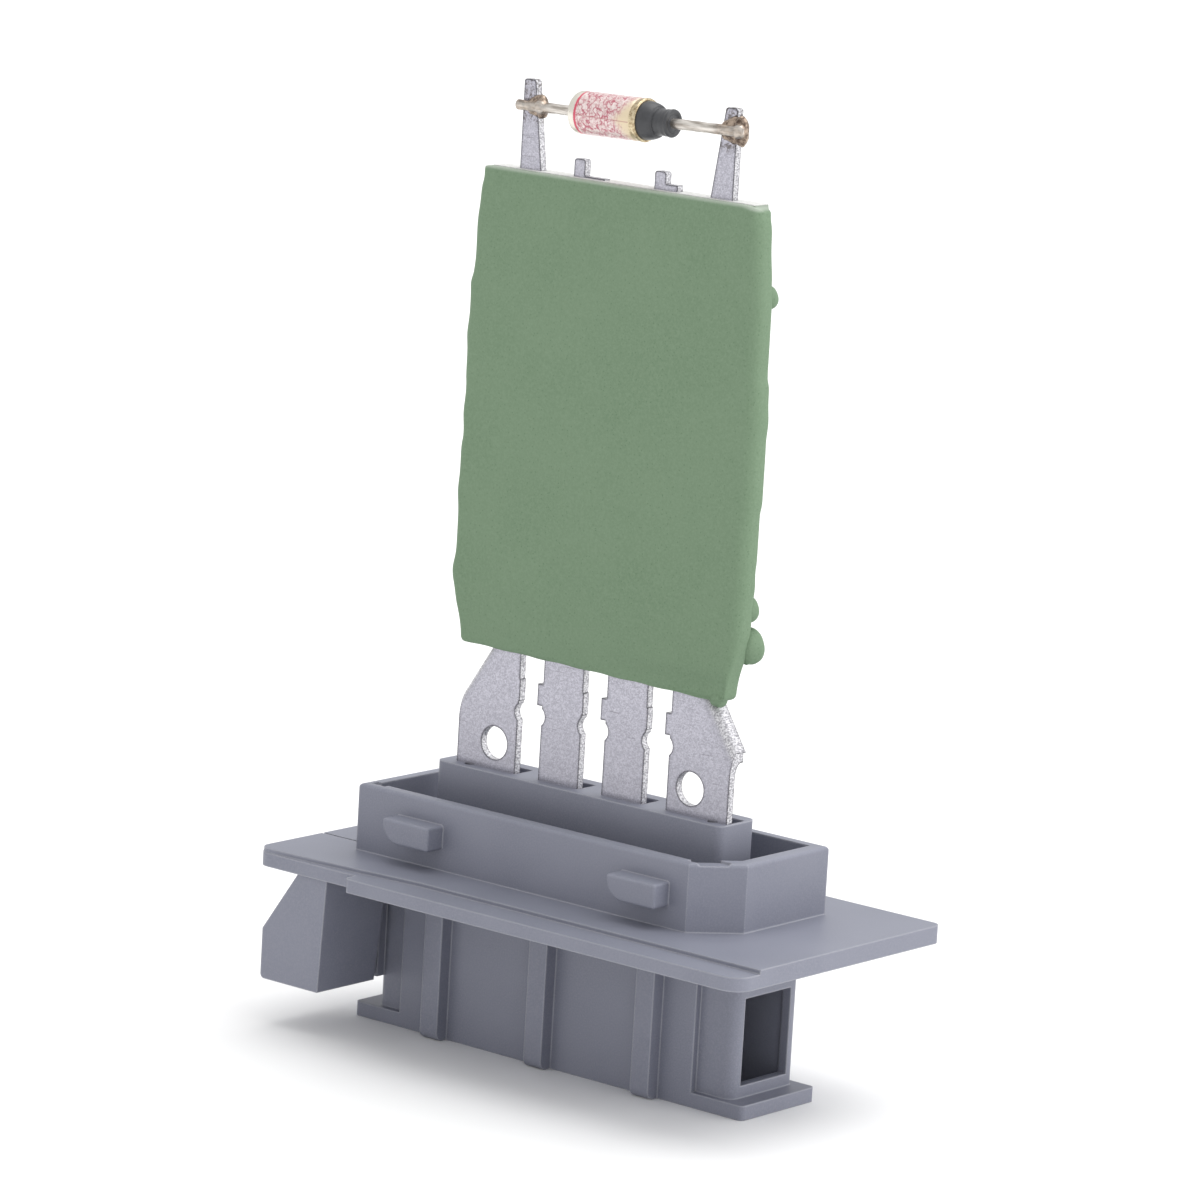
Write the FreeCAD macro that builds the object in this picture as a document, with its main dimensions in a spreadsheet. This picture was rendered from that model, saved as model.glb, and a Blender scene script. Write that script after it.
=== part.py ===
import FreeCAD, Part
import math
import os
from types import SimpleNamespace

import Sketcher

# Blower motor resistor: a moulded base with a ribbed connector shroud carries four stamped
# terminal strips. They pass through a ceramic core that is dipped in cement and holds the
# resistor elements, and a thermal fuse is welded across the two outer arms.
# Millimetres. The origin is on the flange's top face, in the middle of the tower and the
# shroud. X runs along the row of strips, the strips' front faces look along -Y, +Z is up.

V = FreeCAD.Vector

SIZES = {
    # Flange: a plate with a lower lip along its front edge and a slit in its left end
    "flange_left": 29.5,
    "flange_right": 32.2,
    "flange_back": 14.15,
    "flange_front": 15.6,
    "flange_thickness": 1.79,
    "lip_reach": 1.7,
    "lip_left": 16.5,
    "lip_drop": 0.43,
    "step_front": 14.0,
    "step_knee": 17.3,
    "step_straight_from": 9.6,
    "flange_back_corner": 1.0,
    "flange_front_corner": 1.5,
    "lip_corner": 2.0,
    "lip_end_corner": 0.7,
    "slit_front": 6.15,
    "slit_width": 0.35,
    "slit_mouth": 1.1,
    "slit_mouth_length": 2.9,
    # Collar: the wall that stands round the tower, with one cut corner
    "collar_half_length": 22.68,
    "collar_front": 8.64,
    "collar_back": 8.04,
    "collar_height": 6.71,
    "collar_wall": 1.3,
    "collar_cut_along": 3.76,
    "collar_cut_across": 4.22,
    "collar_rim_round": 0.4,
    "rim_notch_depth": 0.5,
    # Snap lugs on the collar's front wall
    "lug_left_inset": 5.18,
    "lug_right_inset": 2.22,
    "lug_length": 5.9,
    "lug_sweep": 1.9,
    "lug_reach": 2.26,
    "lug_bottom": 2.1,
    "lug_height": 2.4,
    "lug_round": 0.25,
    # Tower: the block that grips the strips
    "tower_half_length": 17.93,
    "tower_front": 2.9,
    "tower_back": 2.6,
    "tower_height": 9.19,
    "tower_corner": 0.9,
    "strip_seat": 3.2,
    "pocket_back": 1.2,
    "relief_radius": 0.55,
    "relief_from_edge": 1.73,
    "relief_depth": 2.0,
    # Shroud: the ribbed connector housing below the flange
    "shroud_left": 22.1,
    "shroud_right": 22.69,
    "shroud_half_depth": 4.86,
    "shroud_depth": 17.67,
    "shroud_wall": 1.0,
    "shroud_corner": 1.0,
    "roof_thickness": 2.1,
    "panel_left": 18.6,
    "panel_right": 18.4,
    "panel_step": 0.74,
    "rib_step": 1.5,
    "rib_width": 2.2,
    "rib_pitch": 13.37,
    "rib_middle": 0.1,
    "rib_end_round": 0.9,
    "foot_overhang_left": 2.33,
    "foot_overhang_right": 2.01,
    "foot_thickness": 1.45,
    "foot_corner": 0.5,
    "gusset_size": 1.25,
    "gusset_front": 2.0,
    "key_width": 0.8,
    "key_height": 0.5,
    "key_from_end": 4.2,
    "window_half_width": 3.5,
    "window_top": 6.47,
    "window_bottom": 15.02,
    # Hook block on the flange's left finger, and the fixed guide behind the slit
    "hook_front": 15.3,
    "hook_left": 28.55,
    "hook_right": 20.4,
    "hook_draft": 0.6,
    "hook_bottom": 13.15,
    "hook_slope_start": 24.2,
    "hook_slope_end": 8.1,
    "hook_lean": 0.8,
    "hook_corner": 0.5,
    "guide_thickness": 2.2,
    # Terminal strips, stamped from one sheet at one pitch and sheared apart
    "strip_thickness": 0.8,
    "strip_front": 1.54,
    "strips_shift": 0.6,
    "strip_pitch": 8.0,
    "inner_strip_width": 5.0,
    "outer_strip_inner_edge": 9.5,
    "outer_strip_width": 7.48,
    "inner_blade_width": 4.8,
    "outer_blade_width": 6.3,
    "blade_depth": 14.5,
    "blade_tip_chamfer": 1.0,
    "slot_clearance": 0.05,
    "notch_radius": 1.05,
    "notch_depth": 0.4,
    "notch_height": 15.4,
    "stub_bottom": 16.5,
    "stub_height": 2.15,
    "stub_long": 0.65,
    "stub_short": 0.12,
    "hole_diameter": 3.3,
    "hole_from_inner_edge": 2.8,
    "hole_height": 11.8,
    "bend_height": 20.8,
    "bend_across": 12.25,
    "bend_angle": 33.0,
    "bend_radius": 1.6,
    "flap_depth": 1.9,
    "flap_neck_top": 16.0,
    "strip_shoulder": 22.8,
    # Arms and tabs above the core
    "arm_outer": 13.05,
    "arm_root_width": 2.65,
    "arm_tip_width": 1.4,
    "arm_top": 76.9,
    "arm_tip_round": 0.3,
    "tab_2_left": 6.3,
    "tab_2_foot": 3.8,
    "tab_2_foot_height": 0.15,
    "tab_3_left": 3.6,
    "tab_3_foot": 2.8,
    "tab_3_foot_height": 0.6,
    "tab_width": 1.35,
    "tab_height": 1.75,
    # Ceramic core and its cement coating
    "core_left": 15.4,
    "core_right": 16.6,
    "core_front": 1.99,
    "core_thickness": 2.1,
    "core_bottom": 24.0,
    "core_top": 68.26,
    "coat_front": 0.3,
    "coat_back": 0.5,
    "coat_left": 2.45,
    "coat_right": 1.65,
    "coat_below": 2.8,
    "coat_top_gap": 0.08,
    "coat_corner": 1.2,
    "coat_fold_bulge": 0.2,
    "coat_top_taper": 16.0,
    "coat_top_inset": 0.95,
    "coat_bottom_taper": 6.0,
    "coat_bottom_inset": 1.3,
    "coat_edge": 0.5,
    "upper_lump_height": 59.7,
    "upper_lump_radius": 1.05,
    "lower_lump_height": 29.8,
    "lower_lump_radius": 1.0,
    "joint_lump_height": 26.1,
    "joint_lump_radius": 1.95,
    "drip_radius": 1.0,
    # Resistor elements, flat ribbons folded to and fro on the core's back face
    "ribbon_thickness": 0.3,
    "ribbon_width": 1.3,
    "ribbon_left": 13.6,
    "ribbon_right": 15.7,
    "ribbon_tab": 1.2,
    "ribbon_from_bottom": 2.2,
    "ribbon_lower_gap": 4.0,
    "ribbon_upper_gap": 1.7,
    "ribbon_from_top": 1.26,
    # Thermal fuse: a closed can, its resin seal and two wire leads on the arms' front faces
    "fuse_height": 74.6,
    "fuse_tilt": 1.0,
    "lead_diameter": 1.0,
    "lead_left_end": 12.8,
    "lead_right_end": 14.4,
    "can_left": 5.1,
    "can_length": 8.1,
    "can_diameter": 4.15,
    "can_round": 0.5,
    "seal_shoulder": 0.25,
    "seal_cone_length": 1.5,
    "seal_root_diameter": 3.75,
    "seal_neck_diameter": 2.55,
    "seal_neck_length": 1.8,
    "seal_tip_diameter": 2.7,
    "bead_length": 2.4,
    "bead_diameter": 2.1,
}

os.makedirs("parts", exist_ok=True)
doc = FreeCAD.newDocument("BlowerMotorResistor")
sheet = doc.addObject("Spreadsheet::Sheet", "Sizes")
for row, (alias, number) in enumerate(SIZES.items(), 1):
    sheet.set(f"A{row}", alias)
    sheet.set(f"B{row}", str(number))
    sheet.setAlias(f"B{row}", alias)
doc.recompute()


class Size:
    """A length with its number and the formula that works it out from the sheet."""

    def __init__(self, number, formula):
        self.number = number
        self.formula = formula

    def __add__(self, other):
        other = as_size(other)
        return Size(self.number + other.number, f"({self.formula} + {other.formula})")

    def __sub__(self, other):
        other = as_size(other)
        return Size(self.number - other.number, f"({self.formula} - {other.formula})")

    def __mul__(self, other):
        other = as_size(other)
        return Size(self.number * other.number, f"({self.formula} * {other.formula})")

    def __truediv__(self, other):
        other = as_size(other)
        return Size(self.number / other.number, f"({self.formula} / {other.formula})")

    def __radd__(self, other):
        return as_size(other) + self

    def __rsub__(self, other):
        return as_size(other) - self

    def __rmul__(self, other):
        return as_size(other) * self

    def __neg__(self):
        return 0 - self


def as_size(thing):
    return thing if isinstance(thing, Size) else Size(thing, repr(thing))


def tangent_of(angle):
    return Size(math.tan(math.radians(angle.number)), f"tan({angle.formula} * 1 deg)")


def cosine_of(angle):
    return Size(math.cos(math.radians(angle.number)), f"cos({angle.formula} * 1 deg)")


def sine_of(angle):
    return Size(math.sin(math.radians(angle.number)), f"sin({angle.formula} * 1 deg)")


s = SimpleNamespace(**{alias: Size(sheet.get(alias), f"Sizes.{alias}") for alias in SIZES})


# Building blocks

def bind(item, place, size):
    item.setExpression(place, as_size(size).formula)


def new_body(label):
    body = doc.addObject("PartDesign::Body", label)
    body.Label = label
    return body


# How a level along the plane's own axis is measured along the sketch's normal
NORMAL_SIGN = {"XY_Plane": 1, "XZ_Plane": -1, "YZ_Plane": 1}


def new_sketch(body, name, plane, level):
    """Sketch on one of the body's own planes, moved to a level along that plane's axis."""
    sketch = body.newObject("Sketcher::SketchObject", name)
    support = next(item for item in body.Origin.OriginFeatures if item.Role == plane)
    sketch.AttachmentSupport = [(support, "")]
    sketch.MapMode = "FlatFace"
    bind(sketch, "AttachmentOffset.Base.z", NORMAL_SIGN[plane] * as_size(level))
    return sketch


def pin_point(sketch, geometry, end, across, up):
    for kind, size in (("DistanceX", across), ("DistanceY", up)):
        size = as_size(size)
        index = sketch.addConstraint(Sketcher.Constraint(kind, -1, 1, geometry, end, size.number))
        sketch.setExpression(f"Constraints[{index}]", size.formula)


def pin_radius(sketch, geometry, radius):
    index = sketch.addConstraint(Sketcher.Constraint("Radius", geometry, radius.number))
    sketch.setExpression(f"Constraints[{index}]", radius.formula)


def draw_circle(sketch, across, up, radius):
    across, up, radius = as_size(across), as_size(up), as_size(radius)
    centre = V(across.number, up.number, 0)
    geometry = sketch.addGeometry(Part.Circle(centre, V(0, 0, 1), radius.number))
    pin_point(sketch, geometry, 3, across, up)
    pin_radius(sketch, geometry, radius)


def draw_outline(sketch, corners):
    """Closed outline through corners given as (across, up), or (across, up, radius) if round."""
    corners = [tuple(as_size(size) for size in corner) for corner in corners]
    points = [V(corner[0].number, corner[1].number, 0) for corner in corners]
    count = len(corners)
    arrive, leave, arcs = {}, {}, {}
    for index, corner in enumerate(corners):
        here = points[index]
        arrive[index] = leave[index] = here
        if len(corner) == 3:
            back = (points[index - 1] - here).normalize()
            ahead = (points[(index + 1) % count] - here).normalize()
            half_angle = back.getAngle(ahead) / 2
            tangent = corner[2].number / math.tan(half_angle)
            arrive[index] = here + back * tangent
            leave[index] = here + ahead * tangent
            middle = (back + ahead).normalize() * (corner[2].number / math.sin(half_angle))
            arcs[index] = (here + middle, back.cross(ahead).z < 0)
    lines = []
    for index in range(count):
        segment = Part.LineSegment(leave[index], arrive[(index + 1) % count])
        lines.append(sketch.addGeometry(segment))
    for index, corner in enumerate(corners):
        before, after = lines[index - 1], lines[index]
        if index not in arcs:
            sketch.addConstraint(Sketcher.Constraint("Coincident", before, 2, after, 1))
            pin_point(sketch, after, 1, corner[0], corner[1])
            continue
        centre, left_turn = arcs[index]
        first, last = arrive[index] - centre, leave[index] - centre
        if not left_turn:
            first, last = last, first
        start = math.atan2(first.y, first.x)
        finish = math.atan2(last.y, last.x)
        circle = Part.Circle(centre, V(0, 0, 1), corner[2].number)
        arc = sketch.addGeometry(Part.ArcOfCircle(circle, start, finish))
        arrive_end, leave_end = (1, 2) if left_turn else (2, 1)
        sketch.addConstraint(Sketcher.Constraint("Tangent", before, 2, arc, arrive_end))
        sketch.addConstraint(Sketcher.Constraint("Tangent", arc, leave_end, after, 1))
        pin_radius(sketch, arc, corner[2])
        corner_mark = sketch.addGeometry(Part.Point(points[index]), True)
        sketch.addConstraint(Sketcher.Constraint("PointOnObject", corner_mark, 1, before))
        sketch.addConstraint(Sketcher.Constraint("PointOnObject", corner_mark, 1, after))
        pin_point(sketch, corner_mark, 1, corner[0], corner[1])


def rectangle(left, bottom, right, top):
    return [(left, bottom), (right, bottom), (right, top), (left, top)]


def sketch_feature(kind, body, name, plane, level, length, outlines):
    sketch = new_sketch(body, name + "Outline", plane, level)
    for corners in outlines:
        draw_outline(sketch, corners)
    feature = body.newObject(kind, name)
    feature.Profile = sketch
    bind(feature, "Length", length)
    return feature


def pad(body, name, plane, level, length, *outlines):
    """Solid from outlines, grown along the plane's normal: +Z, -Y or +X."""
    return sketch_feature("PartDesign::Pad", body, name, plane, level, length, outlines)


def pocket(body, name, plane, level, length, *outlines):
    """Hollow from outlines, cut against the plane's normal: -Z, +Y or -X."""
    before = solid_volume(body)
    feature = sketch_feature("PartDesign::Pocket", body, name, plane, level, length, outlines)
    assert_cut(body, before, name)
    return feature


def pocket_circles(body, name, plane, level, length, circles):
    before = solid_volume(body)
    sketch = new_sketch(body, name + "Outline", plane, level)
    for across, up, radius in circles:
        draw_circle(sketch, across, up, radius)
    feature = body.newObject("PartDesign::Pocket", name)
    feature.Profile = sketch
    bind(feature, "Length", length)
    assert_cut(body, before, name)
    return feature


def solid_volume(body):
    doc.recompute()
    return body.Shape.Volume


def assert_cut(body, before, name):
    if solid_volume(body) >= before:
        raise RuntimeError(f"{name} cuts nothing")


def round_edges(body, name, radius, chosen):
    """Fillet on the edges of the body that a test picks by their place."""
    doc.recompute()
    base = body.Tip
    picked = [f"Edge{index}" for index, edge in enumerate(base.Shape.Edges, 1) if chosen(edge)]
    fillet = body.newObject("PartDesign::Fillet", name)
    fillet.Base = (base, picked)
    bind(fillet, "Radius", radius)
    return fillet


def within(value, low, high):
    slack = 0.001
    return low.number - slack <= value <= high.number + slack


def flat_at(edge, level):
    """True for an edge that lies wholly at one height."""
    box = edge.BoundBox
    return within(box.ZMin, level, level) and within(box.ZMax, level, level)


# Base housing

def collar_outline(inset):
    """Plan of the collar, moved inwards by an inset, with its right front corner cut."""
    left = inset - s.collar_half_length
    right = s.collar_half_length - inset
    front = inset - s.collar_front
    back = s.collar_back - inset
    cut_along = s.collar_cut_along - inset * 0.4
    cut_across = s.collar_cut_across - inset * 0.4
    return [
        (left, front),
        (right - cut_along, front),
        (right, front + cut_across),
        (right, back),
        (left, back),
    ]


def strip_slots(clearance, outer_width, inner_width, front, back):
    """Plan of the four slots for the strips, from left to right."""
    outer_centre = s.outer_strip_inner_edge + s.outer_strip_width / 2
    inner_centre = s.strip_pitch / 2
    slots = []
    for centre, width in (
        (-outer_centre, outer_width),
        (-inner_centre, inner_width),
        (inner_centre, inner_width),
        (outer_centre, outer_width),
    ):
        middle = centre + s.strips_shift
        reach = width / 2 + clearance
        slots.append(rectangle(middle - reach, front, middle + reach, back))
    return slots


def make_flange(body):
    full_front = s.flange_front + s.lip_reach
    pad(body, "FlangePlate", "XY_Plane", -s.flange_thickness, s.flange_thickness - s.lip_drop, [
        (-s.flange_left, -s.flange_front, s.flange_front_corner),
        (-s.lip_left, -s.flange_front),
        (-s.lip_left, -full_front, s.lip_end_corner),
        (s.flange_right, -full_front, s.lip_corner),
        (s.flange_right, s.flange_back, s.flange_back_corner),
        (-s.flange_left, s.flange_back, s.flange_back_corner),
    ])
    knee_front = s.step_front + s.lip_drop * 1.6
    pad(body, "FlangeTop", "XY_Plane", -s.lip_drop, s.lip_drop, [
        (-s.flange_left, -s.flange_front, s.flange_front_corner),
        (-s.step_knee, -knee_front),
        (-s.step_straight_from, -s.step_front),
        (s.flange_right, -s.step_front),
        (s.flange_right, s.flange_back, s.flange_back_corner),
        (-s.flange_left, s.flange_back, s.flange_back_corner),
    ])


def make_collar(body):
    pad(body, "Collar", "XY_Plane", 0, s.collar_height, collar_outline(0))
    rim_round = s.collar_rim_round

    def outer_rim(edge):
        box = edge.BoundBox
        return flat_at(edge, s.collar_height) and box.ZMin > 0

    round_edges(body, "CollarRimRound", rim_round, outer_rim)
    pocket(body, "Moat", "XY_Plane", s.collar_height, s.collar_height, collar_outline(s.collar_wall))
    notch_left = s.collar_wall - s.collar_half_length
    cut_start = s.collar_half_length - s.collar_wall - s.collar_cut_along
    inner_front = s.collar_wall - s.collar_front
    pocket(body, "RimNotches", "XY_Plane", s.collar_height, s.rim_notch_depth / 2,
           rectangle(notch_left - s.rim_notch_depth, inner_front - s.rim_notch_depth,
                     notch_left + s.collar_wall, inner_front + s.rim_notch_depth),
           rectangle(cut_start + s.rim_notch_depth, inner_front - s.rim_notch_depth,
                     cut_start + s.collar_cut_along, inner_front + s.collar_cut_across / 2))


def make_lugs(body):
    """Two snap lugs, each a tongue whose lower left is swept away in one round corner."""
    wall = -s.collar_front
    top = s.lug_bottom + s.lug_height
    front_end = s.collar_half_length - s.collar_cut_along
    lefts = (s.lug_left_inset - s.collar_half_length, front_end - s.lug_right_inset - s.lug_length)
    for index, left in enumerate(lefts, 1):
        right = left + s.lug_length
        name = f"Lug{index}"
        pad(body, name, "XZ_Plane", wall + s.collar_wall / 2, s.lug_reach + s.collar_wall / 2, [
            (left, top),
            (left, s.lug_bottom, s.lug_sweep),
            (right, s.lug_bottom),
            (right, top),
        ])
        low, high = left - 1, right + 1

        def front_edges(edge):
            box = edge.BoundBox
            reach = within(box.YMin, wall - s.lug_reach, wall - s.lug_reach)
            return reach and within(box.XMin, low, high) and within(box.XMax, low, high)

        round_edges(body, name + "Round", s.lug_round, front_edges)


def make_tower(body):
    half, corner = s.tower_half_length, s.tower_corner
    pad(body, "Tower", "XY_Plane", 0, s.tower_height, [
        (-half, -s.tower_front, corner),
        (half, -s.tower_front, corner),
        (half, s.tower_back, corner),
        (-half, s.tower_back, corner),
    ])


def cut_strip_seats(body):
    """Pockets that seat the strips, the blade slots below them and the small reliefs."""
    front = -s.strip_front
    pocket(body, "StripPockets", "XY_Plane", s.tower_height, s.tower_height - s.strip_seat,
           *strip_slots(s.slot_clearance, s.outer_strip_width, s.inner_strip_width,
                        front, s.pocket_back))
    pocket(body, "BladeSlots", "XY_Plane", s.strip_seat, s.strip_seat + s.roof_thickness + 1,
           *strip_slots(s.slot_clearance, s.outer_blade_width, s.inner_blade_width,
                        front, front + s.strip_thickness))
    across = s.outer_strip_inner_edge + s.outer_strip_width - s.relief_from_edge
    pocket_circles(body, "Reliefs", "XY_Plane", s.tower_height, s.relief_depth, [
        (s.strips_shift - across, front, s.relief_radius),
        (s.strips_shift + across, front, s.relief_radius),
    ])


def make_shroud(body):
    half, corner = s.shroud_half_depth, s.shroud_corner
    bottom = -s.shroud_depth
    height = s.shroud_depth - s.flange_thickness / 2
    pad(body, "ShroudBox", "XY_Plane", bottom, height, [
        (-s.shroud_left, -half, corner),
        (s.shroud_right, -half, corner),
        (s.shroud_right, half, corner),
        (-s.shroud_left, half, corner),
    ])
    panel = half + s.panel_step
    pad(body, "ShroudPanels", "XY_Plane", bottom, height,
        rectangle(-s.panel_left, -panel, s.panel_right, panel))
    foot_left = -s.shroud_left - s.foot_overhang_left
    foot_right = s.shroud_right + s.foot_overhang_right
    pad(body, "Foot", "XY_Plane", bottom, s.foot_thickness, [
        (foot_left, -panel, s.foot_corner),
        (foot_right, -panel, s.foot_corner),
        (foot_right, panel, s.foot_corner),
        (foot_left, panel, s.foot_corner),
    ])
    rib = panel + s.rib_step
    for index in range(3):
        middle = (index - 1) * s.rib_pitch - s.rib_middle
        pad(body, f"Rib{index + 1}", "XY_Plane", bottom, height,
            rectangle(middle - s.rib_width / 2, -rib, middle + s.rib_width / 2, rib))

    def rib_ends(edge):
        box = edge.BoundBox
        return flat_at(edge, bottom) and (within(box.YMax, -rib, -rib) or within(box.YMin, rib, rib))

    round_edges(body, "RibEndRound", s.rib_end_round, rib_ends)
    wall = -s.shroud_left
    foot_top = bottom + s.foot_thickness
    pad(body, "Gusset", "XZ_Plane", half, half + s.gusset_front, [
        (wall + s.shroud_wall / 2, foot_top - s.foot_thickness / 2),
        (wall - s.gusset_size, foot_top - s.foot_thickness / 2),
        (wall - s.gusset_size, foot_top),
        (wall - s.gusset_size * 0.35, foot_top + s.gusset_size * 0.35),
        (wall, foot_top + s.gusset_size),
        (wall + s.shroud_wall / 2, foot_top + s.gusset_size),
    ])


def make_hook(body):
    """Hook block on the finger in front of the slit, and the fixed guide behind the slit."""
    back = -s.slit_front
    inside = -s.flange_thickness / 2
    outline = [
        (-s.hook_right, inside),
        (-s.hook_slope_start, inside),
        (-s.hook_slope_start, -s.flange_thickness),
        (-s.hook_left, -s.hook_slope_end),
        (-s.hook_left, -s.hook_bottom, s.hook_corner),
        (-s.hook_right - s.hook_draft, -s.hook_bottom),
    ]
    pad(body, "HookBlock", "XZ_Plane", back, s.hook_front + back, outline)
    pocket(body, "HookLean", "YZ_Plane", -s.hook_right, s.hook_left, [
        (back, -s.flange_thickness),
        (back, -s.hook_bottom),
        (back - s.hook_lean, -s.hook_bottom),
    ])
    guide_front = back + s.slit_width
    guide_right = -s.shroud_left + s.shroud_wall / 2
    pad(body, "Guide", "XZ_Plane", guide_front + s.guide_thickness, s.guide_thickness, [
        (guide_right, inside),
        (-s.hook_slope_start, inside),
        (-s.hook_slope_start, -s.flange_thickness),
        (-s.hook_left, -s.hook_slope_end),
        (-s.hook_left, -s.hook_bottom, s.hook_corner),
        (guide_right, -s.hook_bottom),
    ])


def cut_slit(body):
    """Slit that frees the flange's left front finger, wider at its inner end."""
    front = -s.slit_front
    outside = -s.flange_left - 1
    inner = -s.collar_half_length
    pocket(body, "Slit", "XY_Plane", 0, s.flange_thickness, [
        (outside, front),
        (inner, front),
        (inner, front + s.slit_mouth),
        (inner - s.slit_mouth_length, front + s.slit_width),
        (outside, front + s.slit_width),
    ])


def cut_cavity(body):
    bottom = -s.shroud_depth
    inner_left = s.shroud_wall - s.shroud_left
    inner_right = s.shroud_right - s.shroud_wall
    inner_half = s.shroud_half_depth - s.shroud_wall
    keys = []
    for middle in (inner_left + s.key_from_end, inner_right - s.key_from_end):
        keys += [
            (middle - s.key_width / 2, -inner_half),
            (middle - s.key_width / 2, s.key_height - inner_half),
            (middle + s.key_width / 2, s.key_height - inner_half),
            (middle + s.key_width / 2, -inner_half),
        ]
    roof = -s.roof_thickness
    pocket(body, "ConnectorCavity", "XY_Plane", roof, roof - bottom, [
        (inner_left, -inner_half),
        *keys,
        (inner_right, -inner_half),
        (inner_right, inner_half),
        (inner_left, inner_half),
    ])
    pocket(body, "Window", "YZ_Plane", s.shroud_right + 1, s.shroud_wall * 1.5 + 1,
           rectangle(-s.window_half_width, -s.window_bottom, s.window_half_width, -s.window_top))


def make_base_housing():
    body = new_body("base_housing")
    make_flange(body)
    make_shroud(body)
    make_hook(body)
    make_collar(body)
    make_lugs(body)
    make_tower(body)
    cut_strip_seats(body)
    cut_cavity(body)
    cut_slit(body)
    return body


# Terminal strips

def blade_outline(centre, width):
    """Blade below the seat, with both corners of its tip cut."""
    left, right = centre - width / 2, centre + width / 2
    tip = -s.blade_depth
    chamfer = s.blade_tip_chamfer
    return [
        (left, s.strip_seat),
        (left, tip + chamfer),
        (left + chamfer, tip),
        (right - chamfer, tip),
        (right, tip + chamfer),
        (right, s.strip_seat),
    ]


def place_strip(body):
    bind(body, "Placement.Base.x", s.strips_shift)


def make_inner_strip(number, side, stem_left, foot_width, foot_height):
    """Strip beside the middle: blade, sheared stubs, notches both sides, and a tab on top."""
    body = new_body(f"terminal_strip_{number}")
    place_strip(body)
    back = s.strip_thickness - s.strip_front
    centre = side * s.strip_pitch / 2
    left = centre - s.inner_strip_width / 2
    right = centre + s.inner_strip_width / 2
    stub_top = s.stub_bottom + s.stub_height
    foot_top = s.core_top + foot_height
    pad(body, f"Strip{number}", "XZ_Plane", back, s.strip_thickness, [
        (left, s.strip_seat),
        *blade_outline(centre, s.inner_blade_width),
        (right, s.strip_seat),
        (right, s.stub_bottom),
        (right + s.stub_short, s.stub_bottom),
        (right + s.stub_short, stub_top),
        (right, stub_top),
        (right, s.strip_shoulder),
        (stem_left + foot_width, s.strip_shoulder),
        (stem_left + foot_width, foot_top),
        (stem_left + s.tab_width, foot_top),
        (stem_left + s.tab_width, s.core_top + s.tab_height, s.arm_tip_round),
        (stem_left, s.core_top + s.tab_height, s.arm_tip_round),
        (stem_left, s.strip_shoulder),
        (left, s.strip_shoulder),
        (left, stub_top),
        (left - s.stub_long, stub_top),
        (left - s.stub_long, s.stub_bottom),
        (left, s.stub_bottom),
    ])
    offset = s.notch_radius - s.notch_depth
    pocket_circles(body, f"Notches{number}", "XZ_Plane", -s.strip_front, s.strip_thickness, [
        (left - offset, s.notch_height, s.notch_radius),
        (right + offset, s.notch_height, s.notch_radius),
    ])
    return body


def make_outer_strip(number, side):
    """Strip at the end of the row: blade, hole, bent-back corner, and an arm for the fuse."""
    body = new_body(f"terminal_strip_{number}")
    place_strip(body)
    front = -s.strip_front
    back = front + s.strip_thickness
    inner = s.outer_strip_inner_edge
    outer = inner + s.outer_strip_width
    centre = inner + s.outer_strip_width / 2
    slope = tangent_of(s.bend_angle)
    bend_foot = s.bend_height - (outer - s.bend_across) / slope
    bend_top = s.bend_across - (s.strip_shoulder - s.bend_height) * slope
    stub = s.stub_long if side > 0 else s.stub_short
    stub_top = s.stub_bottom + s.stub_height
    plate = [
        (inner, s.strip_seat),
        *blade_outline(centre, s.outer_blade_width),
        (outer, s.strip_seat),
        (outer, bend_foot),
        (bend_top, s.strip_shoulder),
        (inner, s.strip_shoulder),
        (inner, stub_top),
        (inner - stub, stub_top),
        (inner - stub, s.stub_bottom),
        (inner, s.stub_bottom),
    ]
    pad(body, f"Strip{number}", "XZ_Plane", back, s.strip_thickness, mirrored(plate, side))
    make_bent_corner(body, number, side, outer, bend_foot)
    arm_inner_root = s.arm_outer - s.arm_root_width
    pad(body, f"Arm{number}", "XZ_Plane", back, s.strip_thickness, mirrored([
        (arm_inner_root, s.strip_shoulder - s.strip_thickness),
        (s.arm_outer, s.strip_shoulder - s.strip_thickness),
        (s.arm_outer, s.arm_top, s.arm_tip_round),
        (s.arm_outer - s.arm_tip_width, s.arm_top, s.arm_tip_round),
        (arm_inner_root, s.core_top),
    ], side))
    offset = s.notch_radius - s.notch_depth
    pocket_circles(body, f"Openings{number}", "XZ_Plane", front, s.strip_thickness, [
        (side * (inner - offset), s.notch_height, s.notch_radius),
        (side * (inner + s.hole_from_inner_edge), s.hole_height, s.hole_diameter / 2),
    ])
    return body


def mirrored(corners, side):
    """The outline as it is for the right side, or turned over for the left."""
    if side > 0:
        return corners
    return [(-as_size(corner[0]), *corner[1:]) for corner in reversed(corners)]


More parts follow.
